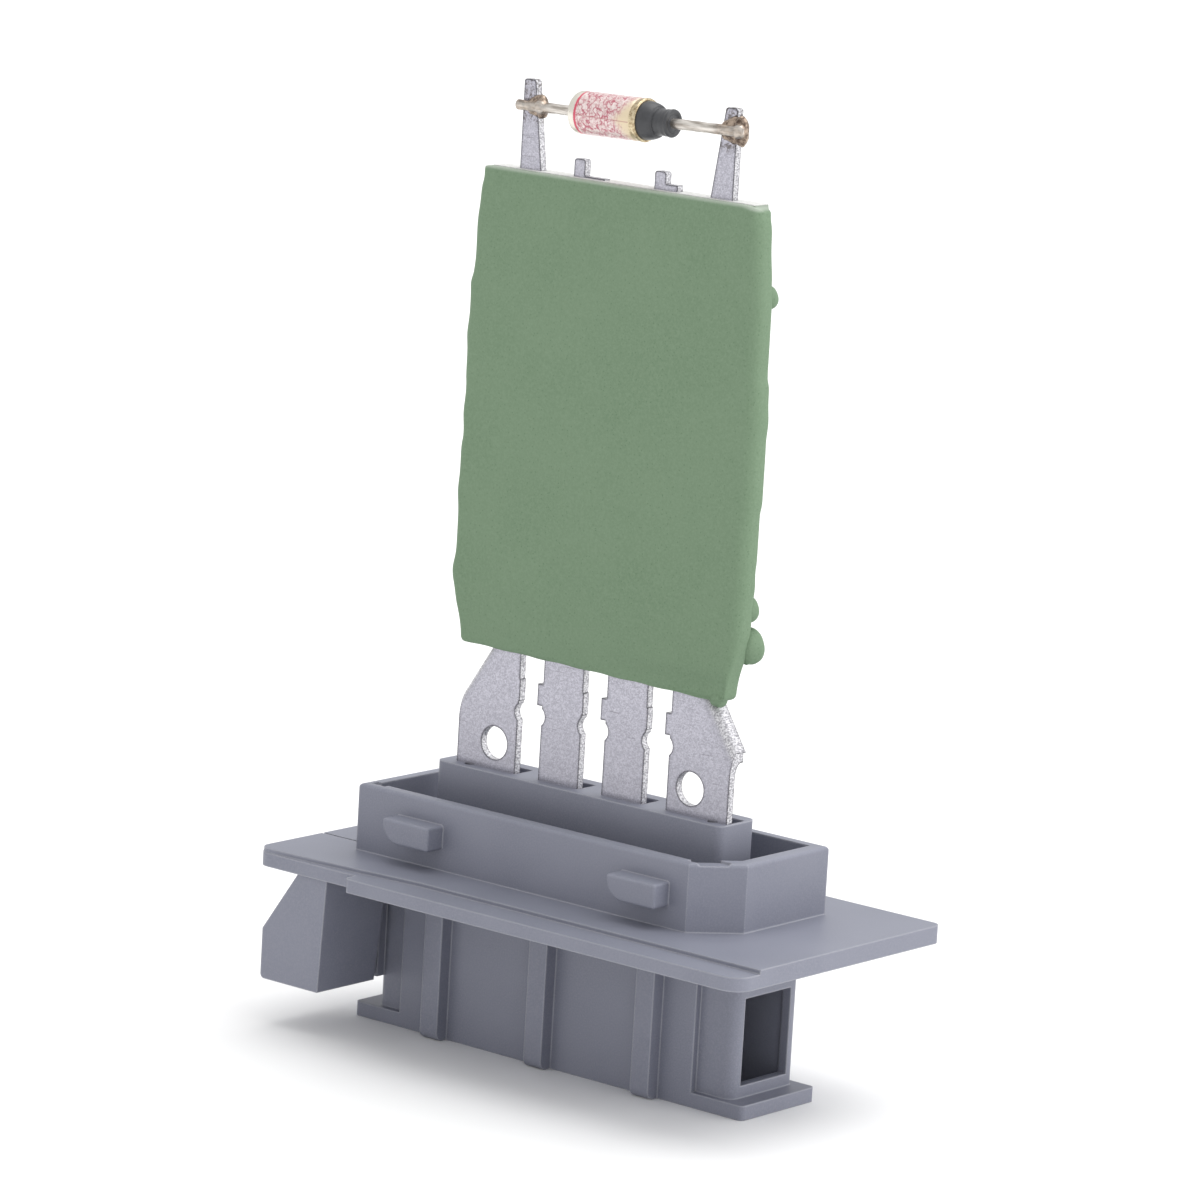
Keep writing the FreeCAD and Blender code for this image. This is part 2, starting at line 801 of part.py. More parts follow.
def make_bent_corner(body, number, side, outer, bend_foot):
    """The strip's outer corner, folded back along a slanting line and trimmed at its neck."""
    front = -s.strip_front
    back = front + s.strip_thickness
    profile = new_sketch(body, f"BendProfile{number}", "XY_Plane", 0)
    run_in = s.bend_radius
    lean = s.bend_angle * -side
    bind(profile, "AttachmentOffset.Base.x", side * (outer + run_in * sine_of(s.bend_angle)))
    bind(profile, "AttachmentOffset.Base.z", bend_foot - run_in * cosine_of(s.bend_angle))
    profile.AttachmentOffset = FreeCAD.Placement(profile.AttachmentOffset.Base,
                                                 FreeCAD.Rotation(V(0, 1, 0), lean.number))
    bind(profile, "AttachmentOffset.Rotation.Angle", lean)
    inner_radius = s.bend_radius - s.strip_thickness
    draw_outline(profile, mirrored([
        (-s.strip_thickness, front),
        (s.bend_radius, front, s.bend_radius),
        (s.bend_radius, front + s.flap_depth),
        (inner_radius, front + s.flap_depth),
        (inner_radius, back, inner_radius),
        (-s.strip_thickness, back),
    ], side))
    bend = body.newObject("PartDesign::Pad", f"Bend{number}")
    bend.Profile = profile
    rise = s.strip_shoulder - bend_foot
    bind(bend, "Length", rise / cosine_of(s.bend_angle) + 3 * s.bend_radius)
    beyond = outer + s.flap_depth * 3
    above = s.strip_shoulder + s.flap_depth * 3
    pocket(body, f"BendTrim{number}", "XZ_Plane", front - s.strip_thickness,
           s.flap_depth + 2 * s.strip_thickness, mirrored([
               (outer, 0),
               (beyond + s.strip_thickness, 0),
               (beyond + s.strip_thickness, above),
               (0, above),
               (0, s.strip_shoulder),
               (beyond, s.strip_shoulder),
               (beyond, s.flap_neck_top),
               (outer, s.flap_neck_top),
           ], side))


# Ceramic core, resistor elements and cement coating

def stem_spans():
    """Left and right edge of each strip's stem inside the core, from left to right."""
    arm_inner = s.arm_outer - s.arm_root_width
    return [
        (-s.arm_outer, -arm_inner),
        (-s.tab_2_left, s.tab_2_foot - s.tab_2_left),
        (s.tab_3_left, s.tab_3_left + s.tab_3_foot),
        (arm_inner, s.arm_outer),
    ]


def core_back():
    return s.core_thickness - s.core_front


LEGS = 4


def leg_pitch():
    """Rise from leg to leg, so that three ribbons and the gaps between them fill the core."""
    gaps = s.ribbon_from_bottom + s.ribbon_lower_gap + s.ribbon_upper_gap + s.ribbon_from_top
    return (s.core_top - s.core_bottom - gaps) / (3 * (LEGS - 1))


def element_ends():
    """For each element: its lowest leg's height and the strips that it joins."""
    rise = leg_pitch() * (LEGS - 1)
    third = s.core_bottom + s.ribbon_from_bottom
    second = third + rise + s.ribbon_lower_gap
    first = second + rise + s.ribbon_upper_gap
    return [(first, 0, 1), (second, 1, 2), (third, 2, 3)]


def tab_places(bottom, first, last):
    """Middle of the element's two end tabs, each over the stem of the strip that it joins."""
    spans = stem_spans()
    places = []
    for strip, leg in ((first, 0), (last, LEGS - 1)):
        left, right = spans[strip]
        across = (left + right) / 2 + s.strips_shift
        places.append((across, bottom + leg * leg_pitch()))
    return places


def square(across, up, half):
    return rectangle(across - half, up - half, across + half, up + half)


def make_ceramic_core():
    body = new_body("ceramic_core")
    pad(body, "CoreBlock", "XY_Plane", s.core_bottom, s.core_top - s.core_bottom,
        rectangle(-s.core_left, -s.core_front, s.core_right, core_back()))
    channels = []
    for left, right in stem_spans():
        left = left + s.strips_shift - s.slot_clearance
        right = right + s.strips_shift + s.slot_clearance
        channels.append(rectangle(left, -s.strip_front, right, s.strip_thickness - s.strip_front))
    pocket(body, "StripChannels", "XY_Plane", s.core_top, s.core_top - s.core_bottom, *channels)
    strip_back = s.strip_thickness - s.strip_front
    half = s.ribbon_tab / 2 + s.slot_clearance
    windows = []
    for bottom, first, last in element_ends():
        windows += [square(across, up, half) for across, up in tab_places(bottom, first, last)]
    pocket(body, "TabWindows", "XZ_Plane", strip_back, core_back() - strip_back, *windows)
    return body


def ribbon_outline(path, width):
    """Both sides of a ribbon that follows a path of level and upright runs."""
    half = width / 2
    sides = {1: [], -1: []}
    count = len(path)
    for index, (across, up) in enumerate(path):
        turns = []
        if index > 0:
            turns.append(normal_of(path[index - 1], path[index]))
        if index < count - 1:
            turns.append(normal_of(path[index], path[index + 1]))
        shift_across = sum(turn[0] for turn in turns)
        shift_up = sum(turn[1] for turn in turns)
        for sign, points in sides.items():
            points.append((across + half * (sign * shift_across), up + half * (sign * shift_up)))
    return sides[-1] + sides[1][::-1]


def normal_of(start, finish):
    """Left-hand normal of a level or upright run."""
    across = as_size(finish[0]).number - as_size(start[0]).number
    up = as_size(finish[1]).number - as_size(start[1]).number
    length = math.hypot(across, up)
    return (round(-up / length), round(across / length))


def make_resistor_element(number, bottom, first, last):
    body = new_body(f"resistor_element_{number}")
    (start, low), (finish, high) = tab_places(bottom, first, last)
    path = [(start, low)]
    for leg in range(LEGS):
        height = bottom + leg * leg_pitch()
        end = s.ribbon_right if leg % 2 else -s.ribbon_left
        if leg > 0:
            path.append((path[-1][0], height))
        if leg < LEGS - 1:
            path.append((end, height))
    path.append((finish, high))
    pad(body, f"Ribbon{number}", "XZ_Plane", core_back() + s.ribbon_thickness,
        s.ribbon_thickness, ribbon_outline(path, s.ribbon_width))
    strip_back = s.strip_thickness - s.strip_front
    pad(body, f"Tabs{number}", "XZ_Plane", core_back() + s.ribbon_thickness / 2,
        core_back() + s.ribbon_thickness / 2 - strip_back,
        square(start, low, s.ribbon_tab / 2), square(finish, high, s.ribbon_tab / 2))
    return body


def rounded_section(left, front, right, back, corner, height):
    """Level rounded rectangle, the coating's section at one height."""
    reach = corner * (1 - math.sqrt(0.5))
    edges = [
        Part.LineSegment(V(left + corner, front, height), V(right - corner, front, height)),
        Part.Arc(V(right - corner, front, height), V(right - reach, front + reach, height),
                 V(right, front + corner, height)),
        Part.LineSegment(V(right, front + corner, height), V(right, back - corner, height)),
        Part.Arc(V(right, back - corner, height), V(right - reach, back - reach, height),
                 V(right - corner, back, height)),
        Part.LineSegment(V(right - corner, back, height), V(left + corner, back, height)),
        Part.Arc(V(left + corner, back, height), V(left + reach, back - reach, height),
                 V(left, back - corner, height)),
        Part.LineSegment(V(left, back - corner, height), V(left, front + corner, height)),
        Part.Arc(V(left, front + corner, height), V(left + reach, front + reach, height),
                 V(left + corner, front, height)),
    ]
    return Part.Wire([edge.toShape() for edge in edges])


def coating_inset(height):
    """How far the coating's sides draw in towards its top and bottom ends."""
    top = s.core_top.number - s.coat_top_taper.number
    bottom = s.core_bottom.number - s.coat_below.number + s.coat_bottom_taper.number
    above = max(height - top, 0) / s.coat_top_taper.number
    below = max(bottom - height, 0) / s.coat_bottom_taper.number
    return s.coat_top_inset.number * above + s.coat_bottom_inset.number * below


def coating_levels():
    """Heights of the coating's sections, each with the bulge of its left and right side."""
    bottom = s.core_bottom.number - s.coat_below.number
    top = s.core_top.number - s.coat_top_gap.number
    edge = s.coat_edge.number
    bulge = s.coat_fold_bulge.number
    levels = [(bottom + edge, 0, 0), (bottom + s.coat_bottom_taper.number, 0, 0)]
    for start, _, _ in reversed(element_ends()):
        for leg in range(LEGS - 1):
            height = start.number + (leg + 0.5) * leg_pitch().number
            levels.append((height, 0, bulge) if leg % 2 else (height, bulge, 0))
    levels.append((top - edge, 0, 0))
    return sorted(levels)


def coating_form():
    """The dipped outer form: a slab with soft ends that bulges over each ribbon's folds."""
    front = -s.core_front.number - s.coat_front.number
    back = core_back().number + s.coat_back.number
    left = -s.core_left.number - s.coat_left.number
    right = s.core_right.number + s.coat_right.number
    edge = s.coat_edge.number
    corner = s.coat_corner.number
    levels = coating_levels()
    sections = [coating_end(levels[0][0] - edge, front, back, left, right)]
    for height, left_bulge, right_bulge in levels:
        inset = coating_inset(height)
        sections.append(rounded_section(left + inset - left_bulge, front,
                                        right - inset + right_bulge, back, corner, height))
    sections.append(coating_end(levels[-1][0] + edge, front, back, left, right))
    slab = Part.makeLoft(sections, True, True)
    return slab.fuse(coating_lumps(front, back, right)).removeSplitter()


def coating_end(height, front, back, left, right):
    """Section at the very top or bottom, drawn in all round for the coating's soft edge."""
    edge = s.coat_edge.number
    inset = coating_inset(height) + edge * 0.6
    rim = edge * 0.45
    return rounded_section(left + inset, front + rim, right - inset, back - rim,
                           s.coat_corner.number, height)


def coating_lumps(front, back, right):
    """Round lumps over the elements' joints at the back, and a drip on the last strip."""
    corner = s.coat_corner.number
    lumps = []
    for height, radius, across, depth in (
        (s.upper_lump_height, s.upper_lump_radius, right - corner / 2, back - corner),
        (s.lower_lump_height, s.lower_lump_radius, right - corner / 2, back - corner),
        (s.joint_lump_height, s.joint_lump_radius, right - corner, back - corner / 2),
    ):
        lumps.append(Part.makeSphere(radius.number, V(across, depth, height.number)))
    bottom = s.core_bottom.number - s.coat_below.number
    drip_radius = s.drip_radius.number
    drip = V(s.bend_across.number + s.strips_shift.number + drip_radius * 2,
             (front + back) / 2, bottom + drip_radius * 0.1)
    lumps.append(Part.makeSphere(drip_radius, drip))
    return lumps


def make_cement_coating(strips, elements):
    """Coating: the dipped form less the core, the strips and the elements inside it."""
    form = doc.addObject("Part::Feature", "CoatingForm")
    form.Shape = coating_form()
    form.Placement = FreeCAD.Placement()
    core = doc.addObject("Part::Box", "CoreSpace")
    bind(core, "Length", s.core_left + s.core_right)
    bind(core, "Width", s.core_thickness)
    bind(core, "Height", s.core_top - s.core_bottom)
    bind(core, "Placement.Base.x", -s.core_left)
    bind(core, "Placement.Base.y", -s.core_front)
    bind(core, "Placement.Base.z", s.core_bottom)
    inside = doc.addObject("Part::MultiFuse", "CoatingContents")
    inside.Shapes = [core, *strips, *elements]
    coating = doc.addObject("Part::Cut", "cement_coating")
    coating.Base = form
    coating.Tool = inside
    coating.Label = "cement_coating"
    return coating


# Thermal fuse

def place_on_fuse_axis(body):
    bind(body, "Placement.Base.y", -s.strip_front - s.lead_diameter / 2)
    bind(body, "Placement.Base.z", s.fuse_height)
    body.Placement = FreeCAD.Placement(V(), FreeCAD.Rotation(V(0, 1, 0), -s.fuse_tilt.number))
    bind(body, "Placement.Rotation.Angle", -s.fuse_tilt)


def revolve(body, name, corners):
    sketch = new_sketch(body, name + "Outline", "XZ_Plane", 0)
    draw_outline(sketch, corners)
    feature = body.newObject("PartDesign::Revolution", name)
    feature.Profile = sketch
    feature.ReferenceAxis = (sketch, ["H_Axis"])
    feature.Angle = 360
    return feature


def make_fuse_case():
    body = new_body("fuse_case")
    place_on_fuse_axis(body)
    left, right = -s.can_left, s.can_length - s.can_left
    radius = s.can_diameter / 2
    revolve(body, "Can", [
        (left, 0),
        (right, 0),
        (right, radius, s.can_round / 2),
        (left, radius, s.can_round),
    ])
    return body


def make_fuse_seal():
    """Resin cone and neck that close the can round the right lead."""
    body = new_body("fuse_seal")
    place_on_fuse_axis(body)
    start = s.can_length - s.can_left
    cone_end = start + s.seal_shoulder + s.seal_cone_length
    tip = cone_end + s.seal_neck_length
    lead = s.lead_diameter / 2
    revolve(body, "Seal", [
        (start, lead),
        (tip, lead),
        (tip, s.seal_tip_diameter / 2),
        (cone_end, s.seal_neck_diameter / 2),
        (start + s.seal_shoulder, s.seal_root_diameter / 2),
        (start, s.seal_root_diameter / 2),
    ])
    return body


def make_fuse_lead(label, left, right, bead_across):
    """Round wire with the weld bead that joins it to its arm, flat on the arm's face."""
    body = new_body(label)
    place_on_fuse_axis(body)
    radius = s.lead_diameter / 2
    bead = s.bead_diameter / 2
    start = bead_across - s.bead_length / 2
    finish = bead_across + s.bead_length / 2
    slope = s.bead_length / 4
    revolve(body, label + "_wire", [
        (left, 0),
        (right, 0),
        (right, radius),
        (finish, radius),
        (finish - slope, bead),
        (start + slope, bead),
        (start, radius),
        (left, radius),
    ])
    pocket(body, label + "_face", "XZ_Plane", radius, bead,
           rectangle(start, -bead * 2, finish, bead * 2))
    return body


def make_fuse():
    """The four pieces of the thermal fuse; each bead sits in the middle of its arm."""
    arm_middle = s.arm_outer - s.arm_tip_width * 0.6
    can_right = s.can_length - s.can_left
    return [
        make_fuse_case(),
        make_fuse_seal(),
        make_fuse_lead("fuse_lead_left", -s.lead_left_end, -s.can_left,
                       s.strips_shift - arm_middle),
        make_fuse_lead("fuse_lead_right", can_right, s.lead_right_end,
                       s.strips_shift + arm_middle),
    ]


# The whole part

housing = make_base_housing()
terminal_strips = [
    make_outer_strip(1, -1),
    make_inner_strip(2, -1, -s.tab_2_left, s.tab_2_foot, s.tab_2_foot_height),
    make_inner_strip(3, 1, s.tab_3_left, s.tab_3_foot, s.tab_3_foot_height),
    make_outer_strip(4, 1),
]
ceramic_core = make_ceramic_core()
resistor_elements = [make_resistor_element(number, *ends)
                     for number, ends in enumerate(element_ends(), 1)]
cement_coating = make_cement_coating(terminal_strips, resistor_elements)
fuse = make_fuse()
doc.recompute()

for item in doc.Objects:
    if "Invalid" in item.State or "Error" in item.State:
        raise RuntimeError(f"{item.Label} failed: {item.State}")

nodes = [housing, *terminal_strips, ceramic_core, *resistor_elements, cement_coating, *fuse]
for node in nodes:
    if node.Shape.isNull() or not node.Shape.isValid():
        raise RuntimeError(f"{node.Label} has no valid shape")
for node in nodes:
    node.Shape.exportStep(f"parts/{node.Label}.step")
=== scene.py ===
# %% [markdown]
# # A blower motor resistor
#
# This part sits in the air duct of a vehicle's heater and sets the speed of the fan. A grey
# moulded base carries four flat terminal strips. They run up into a ceramic plate that is dipped
# in green cement, and a thermal fuse is welded across the two outer arms. The CAD model gives
# every piece its place, and this notebook gives the pieces their soft edges and their finishes.

# %% Load the frame
import math

import bmesh
import bpy
import numpy as np
from mathutils import Matrix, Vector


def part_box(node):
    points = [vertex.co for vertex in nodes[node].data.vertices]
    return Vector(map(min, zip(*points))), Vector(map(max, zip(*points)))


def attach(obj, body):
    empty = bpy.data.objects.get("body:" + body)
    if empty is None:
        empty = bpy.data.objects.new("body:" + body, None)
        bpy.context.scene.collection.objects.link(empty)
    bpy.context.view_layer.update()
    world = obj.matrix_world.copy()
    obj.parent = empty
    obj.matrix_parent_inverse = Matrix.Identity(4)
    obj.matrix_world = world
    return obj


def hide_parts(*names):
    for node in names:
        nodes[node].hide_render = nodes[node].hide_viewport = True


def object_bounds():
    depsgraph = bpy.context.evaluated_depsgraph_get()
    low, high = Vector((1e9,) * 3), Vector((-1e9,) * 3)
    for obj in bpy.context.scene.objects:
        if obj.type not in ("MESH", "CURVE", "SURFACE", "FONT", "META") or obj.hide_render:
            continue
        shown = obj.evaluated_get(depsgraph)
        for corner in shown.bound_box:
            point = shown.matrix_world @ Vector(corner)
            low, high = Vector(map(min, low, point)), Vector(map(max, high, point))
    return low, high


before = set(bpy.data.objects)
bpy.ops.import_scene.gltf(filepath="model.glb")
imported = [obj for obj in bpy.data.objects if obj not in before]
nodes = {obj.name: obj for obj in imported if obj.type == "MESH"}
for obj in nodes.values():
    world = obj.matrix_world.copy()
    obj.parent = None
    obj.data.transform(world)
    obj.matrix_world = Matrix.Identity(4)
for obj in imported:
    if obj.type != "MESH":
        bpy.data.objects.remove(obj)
cad_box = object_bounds()
scene = bpy.context.scene
MM = 0.001
print("pieces from the CAD model:", len(nodes))

# %% [markdown]
# ## The camera
#
# A long lens far away keeps upright edges nearly parallel, as in a catalogue picture. The camera
# could be aimed with a constraint, but its matrix is written out instead, because the picture
# leans by a few degrees and a matrix takes that lean in one more rotation of its two axes.

# %% Placing things that look somewhere
def placement(across, up, outward, spot):
    """The matrix whose columns are an object's own X, Y and Z axes and its place."""
    columns = np.eye(4)
    columns[:3] = np.stack([across, up, outward, spot], -1)
    return Matrix(columns.tolist())


print("placement helper ready")

# %% Camera
AZIMUTH, ELEVATION, LEAN = (math.radians(angle) for angle in (39.04, 10.81, 3.35))
AIM = np.array([-0.02, -0.85, 27.91]) * MM
DISTANCE = 575.7 * MM
SENSOR_WIDTH = 36
LENS_TO_WIDTH = 5989 / 1200
NEAREST = 0.05

backward = np.array([math.sin(AZIMUTH) * math.cos(ELEVATION),
                     -math.cos(AZIMUTH) * math.cos(ELEVATION),
                     math.sin(ELEVATION)])
level = np.array([math.cos(AZIMUTH), math.sin(AZIMUTH), 0])
upright = np.cross(backward, level)
leaned_across = level * math.cos(LEAN) + upright * math.sin(LEAN)
leaned_up = upright * math.cos(LEAN) - level * math.sin(LEAN)
eye = AIM + backward * DISTANCE

camera = bpy.data.objects.new("camera", bpy.data.cameras.new("camera"))
scene.collection.objects.link(camera)
camera.matrix_world = placement(leaned_across, leaned_up, backward, eye)
camera.data.sensor_width = SENSOR_WIDTH
camera.data.lens = SENSOR_WIDTH * LENS_TO_WIDTH
camera.data.clip_start = NEAREST
bpy.context.scene.camera = camera
print("camera at", (eye / MM).round(1), "mm")

# %% [markdown]
# ## Floor and light
#
# Catalogue pictures stand on white paper with white walls all round. Area lights would leave the
# far floor grey, so a white sky stands for the walls, and two distant lights of a wide spread
# light every part of the floor alike: one from above, and a weaker one from the right.

# %% Floor and sky
FLOOR_REACH = 3.0
FLOOR_GAP = 0.01 * MM
SKY_STRENGTH = 0.88

scene.view_settings.view_transform = "Standard"
floor_height = cad_box[0][2] - FLOOR_GAP
corners = FLOOR_REACH * np.array([[-1, -1], [1, -1], [1, 1], [-1, 1]])
floor_mesh = bpy.data.meshes.new("floor")
floor_mesh.from_pydata([(x, y, floor_height) for x, y in corners.tolist()], [], [(0, 1, 2, 3)])
floor = bpy.data.objects.new("floor", floor_mesh)
scene.collection.objects.link(floor)

sky = bpy.data.worlds.new("sky")
scene.world = sky
sky.use_nodes = True
backdrop = sky.node_tree.nodes["Background"]
backdrop.inputs["Color"].default_value = (1, 1, 1, 1)
backdrop.inputs["Strength"].default_value = SKY_STRENGTH
print("floor at", round(floor_height / MM, 2), "mm under a white sky")


# %% Distant lights
def distant_light(name, towards, spread, power):
    """Even light from far away, from the direction of a point, as wide as spread in degrees."""
    light = bpy.data.lights.new(name, "SUN")
    light.angle, light.energy = math.radians(spread), power
    lamp = bpy.data.objects.new(name, light)
    scene.collection.objects.link(lamp)
    outward = np.array(towards, float)
    outward = outward / np.linalg.norm(outward)
    side = np.cross((0, 1, 0), outward)
    side = side / np.linalg.norm(side)
    lamp.matrix_world = placement(side, np.cross(outward, side), outward, outward)


distant_light("top_light", (0.1, 0.25, 1.0), spread=60, power=1.75)
distant_light("right_light", (1.0, 0.45, 0.35), spread=50, power=0.9)
print("two distant lights")

# %% [markdown]
# ## Writing shader maths as Python
#
# A finish is a tree of nodes. Placing each node by hand makes long code, so a small class wraps
# one socket and turns Python's own operators into Math nodes. `1 - mask` then reads as it should.
# Every other kind of node comes from one method, which sets the node's choices first and fills
# its sockets after that.

# %% A socket that takes part in sums
class Value:
    """One output of a shader node. Arithmetic on it adds Math nodes to its finish."""

    def __init__(self, finish, output):
        self.finish, self.output = finish, output

    def math(self, operation, *values):
        places = dict(enumerate(values))
        return self.finish.node("Math", {"operation": operation}, places)

    def __add__(self, other):
        return self.math("ADD", self, other)

    def __sub__(self, other):
        return self.math("SUBTRACT", self, other)

    def __mul__(self, other):
        return self.math("MULTIPLY", self, other)

    def __rsub__(self, other):
        return self.math("SUBTRACT", other, self)

    def __abs__(self):
        return self.math("ABSOLUTE", self)

    __radd__, __rmul__ = __add__, __mul__

    def most(self, other):
        return self.math("MAXIMUM", self, other)

    def rises(self, low, high):
        """0 below low, 1 above high and a soft ramp between them. It falls if low is the larger."""
        ends = {"Value": self, "From Min": low, "From Max": high}
        return self.finish.node("MapRange", {"interpolation_type": "SMOOTHSTEP"}, ends)


print("a socket can now be added to, multiplied and compared")


# %% A material and its nodes
class Finish:
    """A material with one Principled shader. Keywords set what is the same all over."""

    def __init__(self, name, **even):
        self.material = bpy.data.materials.new(name)
        self.material.use_nodes = True
        self.tree = self.material.node_tree
        self.shader = self.tree.nodes["Principled BSDF"]
        for socket, number in even.items():
            self.feed(socket.title().replace("Ior", "IOR"), number)

    def fill(self, socket, content):
        """Links a value to a socket, or sets a number or colour on it."""
        if isinstance(content, Value):
            self.tree.links.new(content.output, socket)
        elif isinstance(content, tuple) and len(content) == 3 and socket.type == "RGBA":
            socket.default_value = (*content, 1)
        else:
            socket.default_value = content

    def node(self, kind, choices, inputs, output=0):
        """A node of one kind, with its choices set first and its sockets filled after that."""
        made = self.tree.nodes.new("ShaderNode" + kind)
        for name, choice in choices.items():
            setattr(made, name, choice)
        for name, content in inputs.items():
            self.fill(made.inputs[name], content)
        return Value(self, made.outputs[output])

    def feed(self, socket, content):
        """Fills a socket of the shader itself."""
        self.fill(self.shader.inputs[socket], content)

    def place(self, stretch=(1, 1, 1), turn=(0, 0, 0), shift=(0, 0, 0)):
        """Place on the piece in millimetres, turned, shifted and stretched if asked."""
        scale = tuple(part / MM for part in stretch)
        spot = self.node("TexCoord", {}, {}, "Object")
        return self.node("Mapping", {}, {"Vector": spot, "Location": shift, "Rotation": turn,
                                         "Scale": scale})

    def grain(self, size, detail=2.0, place=None, rough=0.5):
        """Cloudy noise whose lumps are about size millimetres across, from 0 to 1."""
        spot = place or self.place()
        return self.node("TexNoise", {}, {"Vector": spot, "Scale": 1 / size, "Detail": detail,
                                          "Roughness": rough})

    def cells(self, size, output=0):
        """Cells of about size millimetres: distance from the middle, or a colour for each."""
        spot = self.place()
        return self.node("TexVoronoi", {"feature": "F1"}, {"Vector": spot, "Scale": 1 / size},
                         output)

    def split(self, vector):
        """The three parts of a vector as three values."""
        parts = self.node("SeparateXYZ", {}, {"Vector": vector})
        return [Value(self, parts.output.node.outputs[index]) for index in range(3)]

    def blend(self, mask, first, second):
        """First colour where the mask is 0 and second colour where it is 1."""
        return self.node("Mix", {"data_type": "RGBA", "blend_type": "MIX"},
                         {0: mask, 6: first, 7: second}, 2)

    def relief(self, height, depth, under=None):
        """Bump from a height of 0 to 1 that stands for depth millimetres."""
        inputs = {"Height": height, "Distance": depth * MM, "Strength": 1.0}
        if under:
            inputs["Normal"] = under
        return self.node("Bump", {}, inputs)

    def dress(self, piece):
        """Gives a piece this finish and no other."""
        piece.data.materials.clear()
        piece.data.materials.append(self.material)


print("finishes can be mixed from nodes")

# %% White paper for the floor
PAPER, PAPER_PALE = (0.88, 0.88, 0.88), (0.9, 0.9, 0.9)

paper = Finish("white_paper", roughness=0.75)
paper.feed("Base Color", paper.blend(paper.grain(40), PAPER, PAPER_PALE))
paper.dress(floor)
print("first finish:", paper.material.name)

# %% [markdown]
# ## Soft edges for the moulded and stamped pieces
#
# No moulding or stamping has knife-sharp edges, and the thin bright lines along them tell the eye
# what the piece is made of. The CAD pieces carry the exact form, so they stay as they are. A Bevel
# modifier on so many small steps tears at the corners, so the shader does the rounding: the Bevel
# node looks round each point and turns the normal as a rolled edge would. How far it turned also
# makes a mask of the edges. On the base the mask paints the edges paler, partly where handling has
# rubbed the skin and partly as a painted highlight. On the strips it paints a dark line of painted
# shade.

# %% Rolled edges in the shader
EDGE_SAMPLES = 6
UNTURNED, TURNED = 0.995, 0.85


def rolled_edges(finish, radius):
    """Normal rounded over a radius in millimetres, and 1 along the edges that it rounded. The
    mask rises as the cosine between the rounded and the true normal falls."""
    rounded = finish.node("Bevel", {"samples": EDGE_SAMPLES}, {"Radius": radius * MM})
    true = finish.node("NewGeometry", {}, {}, "True Normal")
    same = finish.node("VectorMath", {"operation": "DOT_PRODUCT"}, {0: rounded, 1: true}, "Value")
    return rounded, same.rises(UNTURNED, TURNED)


print("edges count as rounded from", round(math.degrees(math.acos(UNTURNED)), 1), "degrees")

# %% [markdown]
# ## The moulded base
#
# The base is a filled plastic with a satin skin. It could be one flat grey, but the real one has
# a fine etched grain, faint clouds where the melt flowed, and a slightly uneven gloss. A coarse
# noise gives the clouds. A fine one gives the etching, and also lifts the surface a little.

# %% Finish of the housing
MOULDED, MOULDED_PALE = (0.184, 0.192, 0.242), (0.206, 0.214, 0.266)
ETCHED, RUBBED_AND_HIGHLIT = (0.230, 0.237, 0.290), (0.44, 0.445, 0.50)

plastic = Finish("satin_grey_plastic", ior=1.5)
clouds = plastic.grain(9.0, 3)
etched = plastic.grain(0.16, 3, rough=0.6)
tone = plastic.blend(clouds.rises(0.3, 0.7), MOULDED, MOULDED_PALE)
tone = plastic.blend(etched.rises(0.35, 0.75), tone, ETCHED)
rounded, rubbed_and_highlit = rolled_edges(plastic, 0.28)
# The edges are painted paler: partly rubbed by handling, partly a painted highlight.
plastic.feed("Base Color", plastic.blend(rubbed_and_highlit * 0.75, tone, RUBBED_AND_HIGHLIT))
plastic.feed("Roughness", clouds * 0.08 + etched * 0.1 + 0.38)
plastic.feed("Normal", plastic.relief(etched, 0.006, rounded))
plastic.dress(nodes["base_housing"])
print("housing finished with", len(plastic.tree.nodes), "nodes")

# %% [markdown]
# ## The terminal strips
#
# The strips are tinned sheet. Up close the flat faces are speckled with pale and dark flecks and
# crossed by handling scratches, while the sheared edges are bright and streaked across the
# thickness. An image could be painted for each strip, but which is which can be read from the
# surface itself: a face that looks along Y is the rolled sheet, and any other is a cut edge. A
# dark line of painted shade follows every edge, wider on the flat faces than on the cut ones. The
# sheet is painted darker near the tower as painted shade, and welding the fuse left soot on the
# two tall arms, so both follow the height on the piece.

# %% Skin of the sheet
TIN_DARK, TIN_PALE = (0.375, 0.368, 0.42), (0.575, 0.567, 0.635)
SCRATCHED, LOW_SHADE = (0.17, 0.165, 0.18), (0.27, 0.265, 0.30)

sheet = Finish("tinned_sheet", metallic=0.75)
facing = sheet.split(sheet.node("NewGeometry", {}, {}, "Normal"))[1]
flat_face = abs(facing).rises(0.75, 0.95)
flecks = sheet.cells(0.12, output="Color")
fleck_tone = sheet.split(flecks)[0]
mottle = sheet.grain(0.11, 3, rough=0.6)
scratch_place = sheet.place(stretch=(0.12, 1, 2.6), turn=(0, 0.5, 0))
scratches = sheet.grain(0.5, 2, place=scratch_place).rises(0.67, 0.74)
speckle = (fleck_tone * 0.55 + mottle * 0.75 - 0.15).rises(0.15, 0.95)
skin = sheet.blend(speckle, TIN_DARK, TIN_PALE)
skin = sheet.blend(scratches * 0.6, skin, SCRATCHED)
strip_height = sheet.split(sheet.place())[2]
# Painted shade: the sheet grows darker towards the tower.
skin = sheet.blend(strip_height.rises(21, 10) * 0.24, skin, LOW_SHADE)
print("skin of the sheet:", len(sheet.tree.nodes), "nodes")

# %% Cut edges, soot and painted edge shade
CUT_DARK, CUT_BRIGHT = (0.30, 0.295, 0.32), (0.72, 0.715, 0.74)
SOOT, EDGE_SHADE = (0.11, 0.09, 0.08), (0.05, 0.048, 0.055)

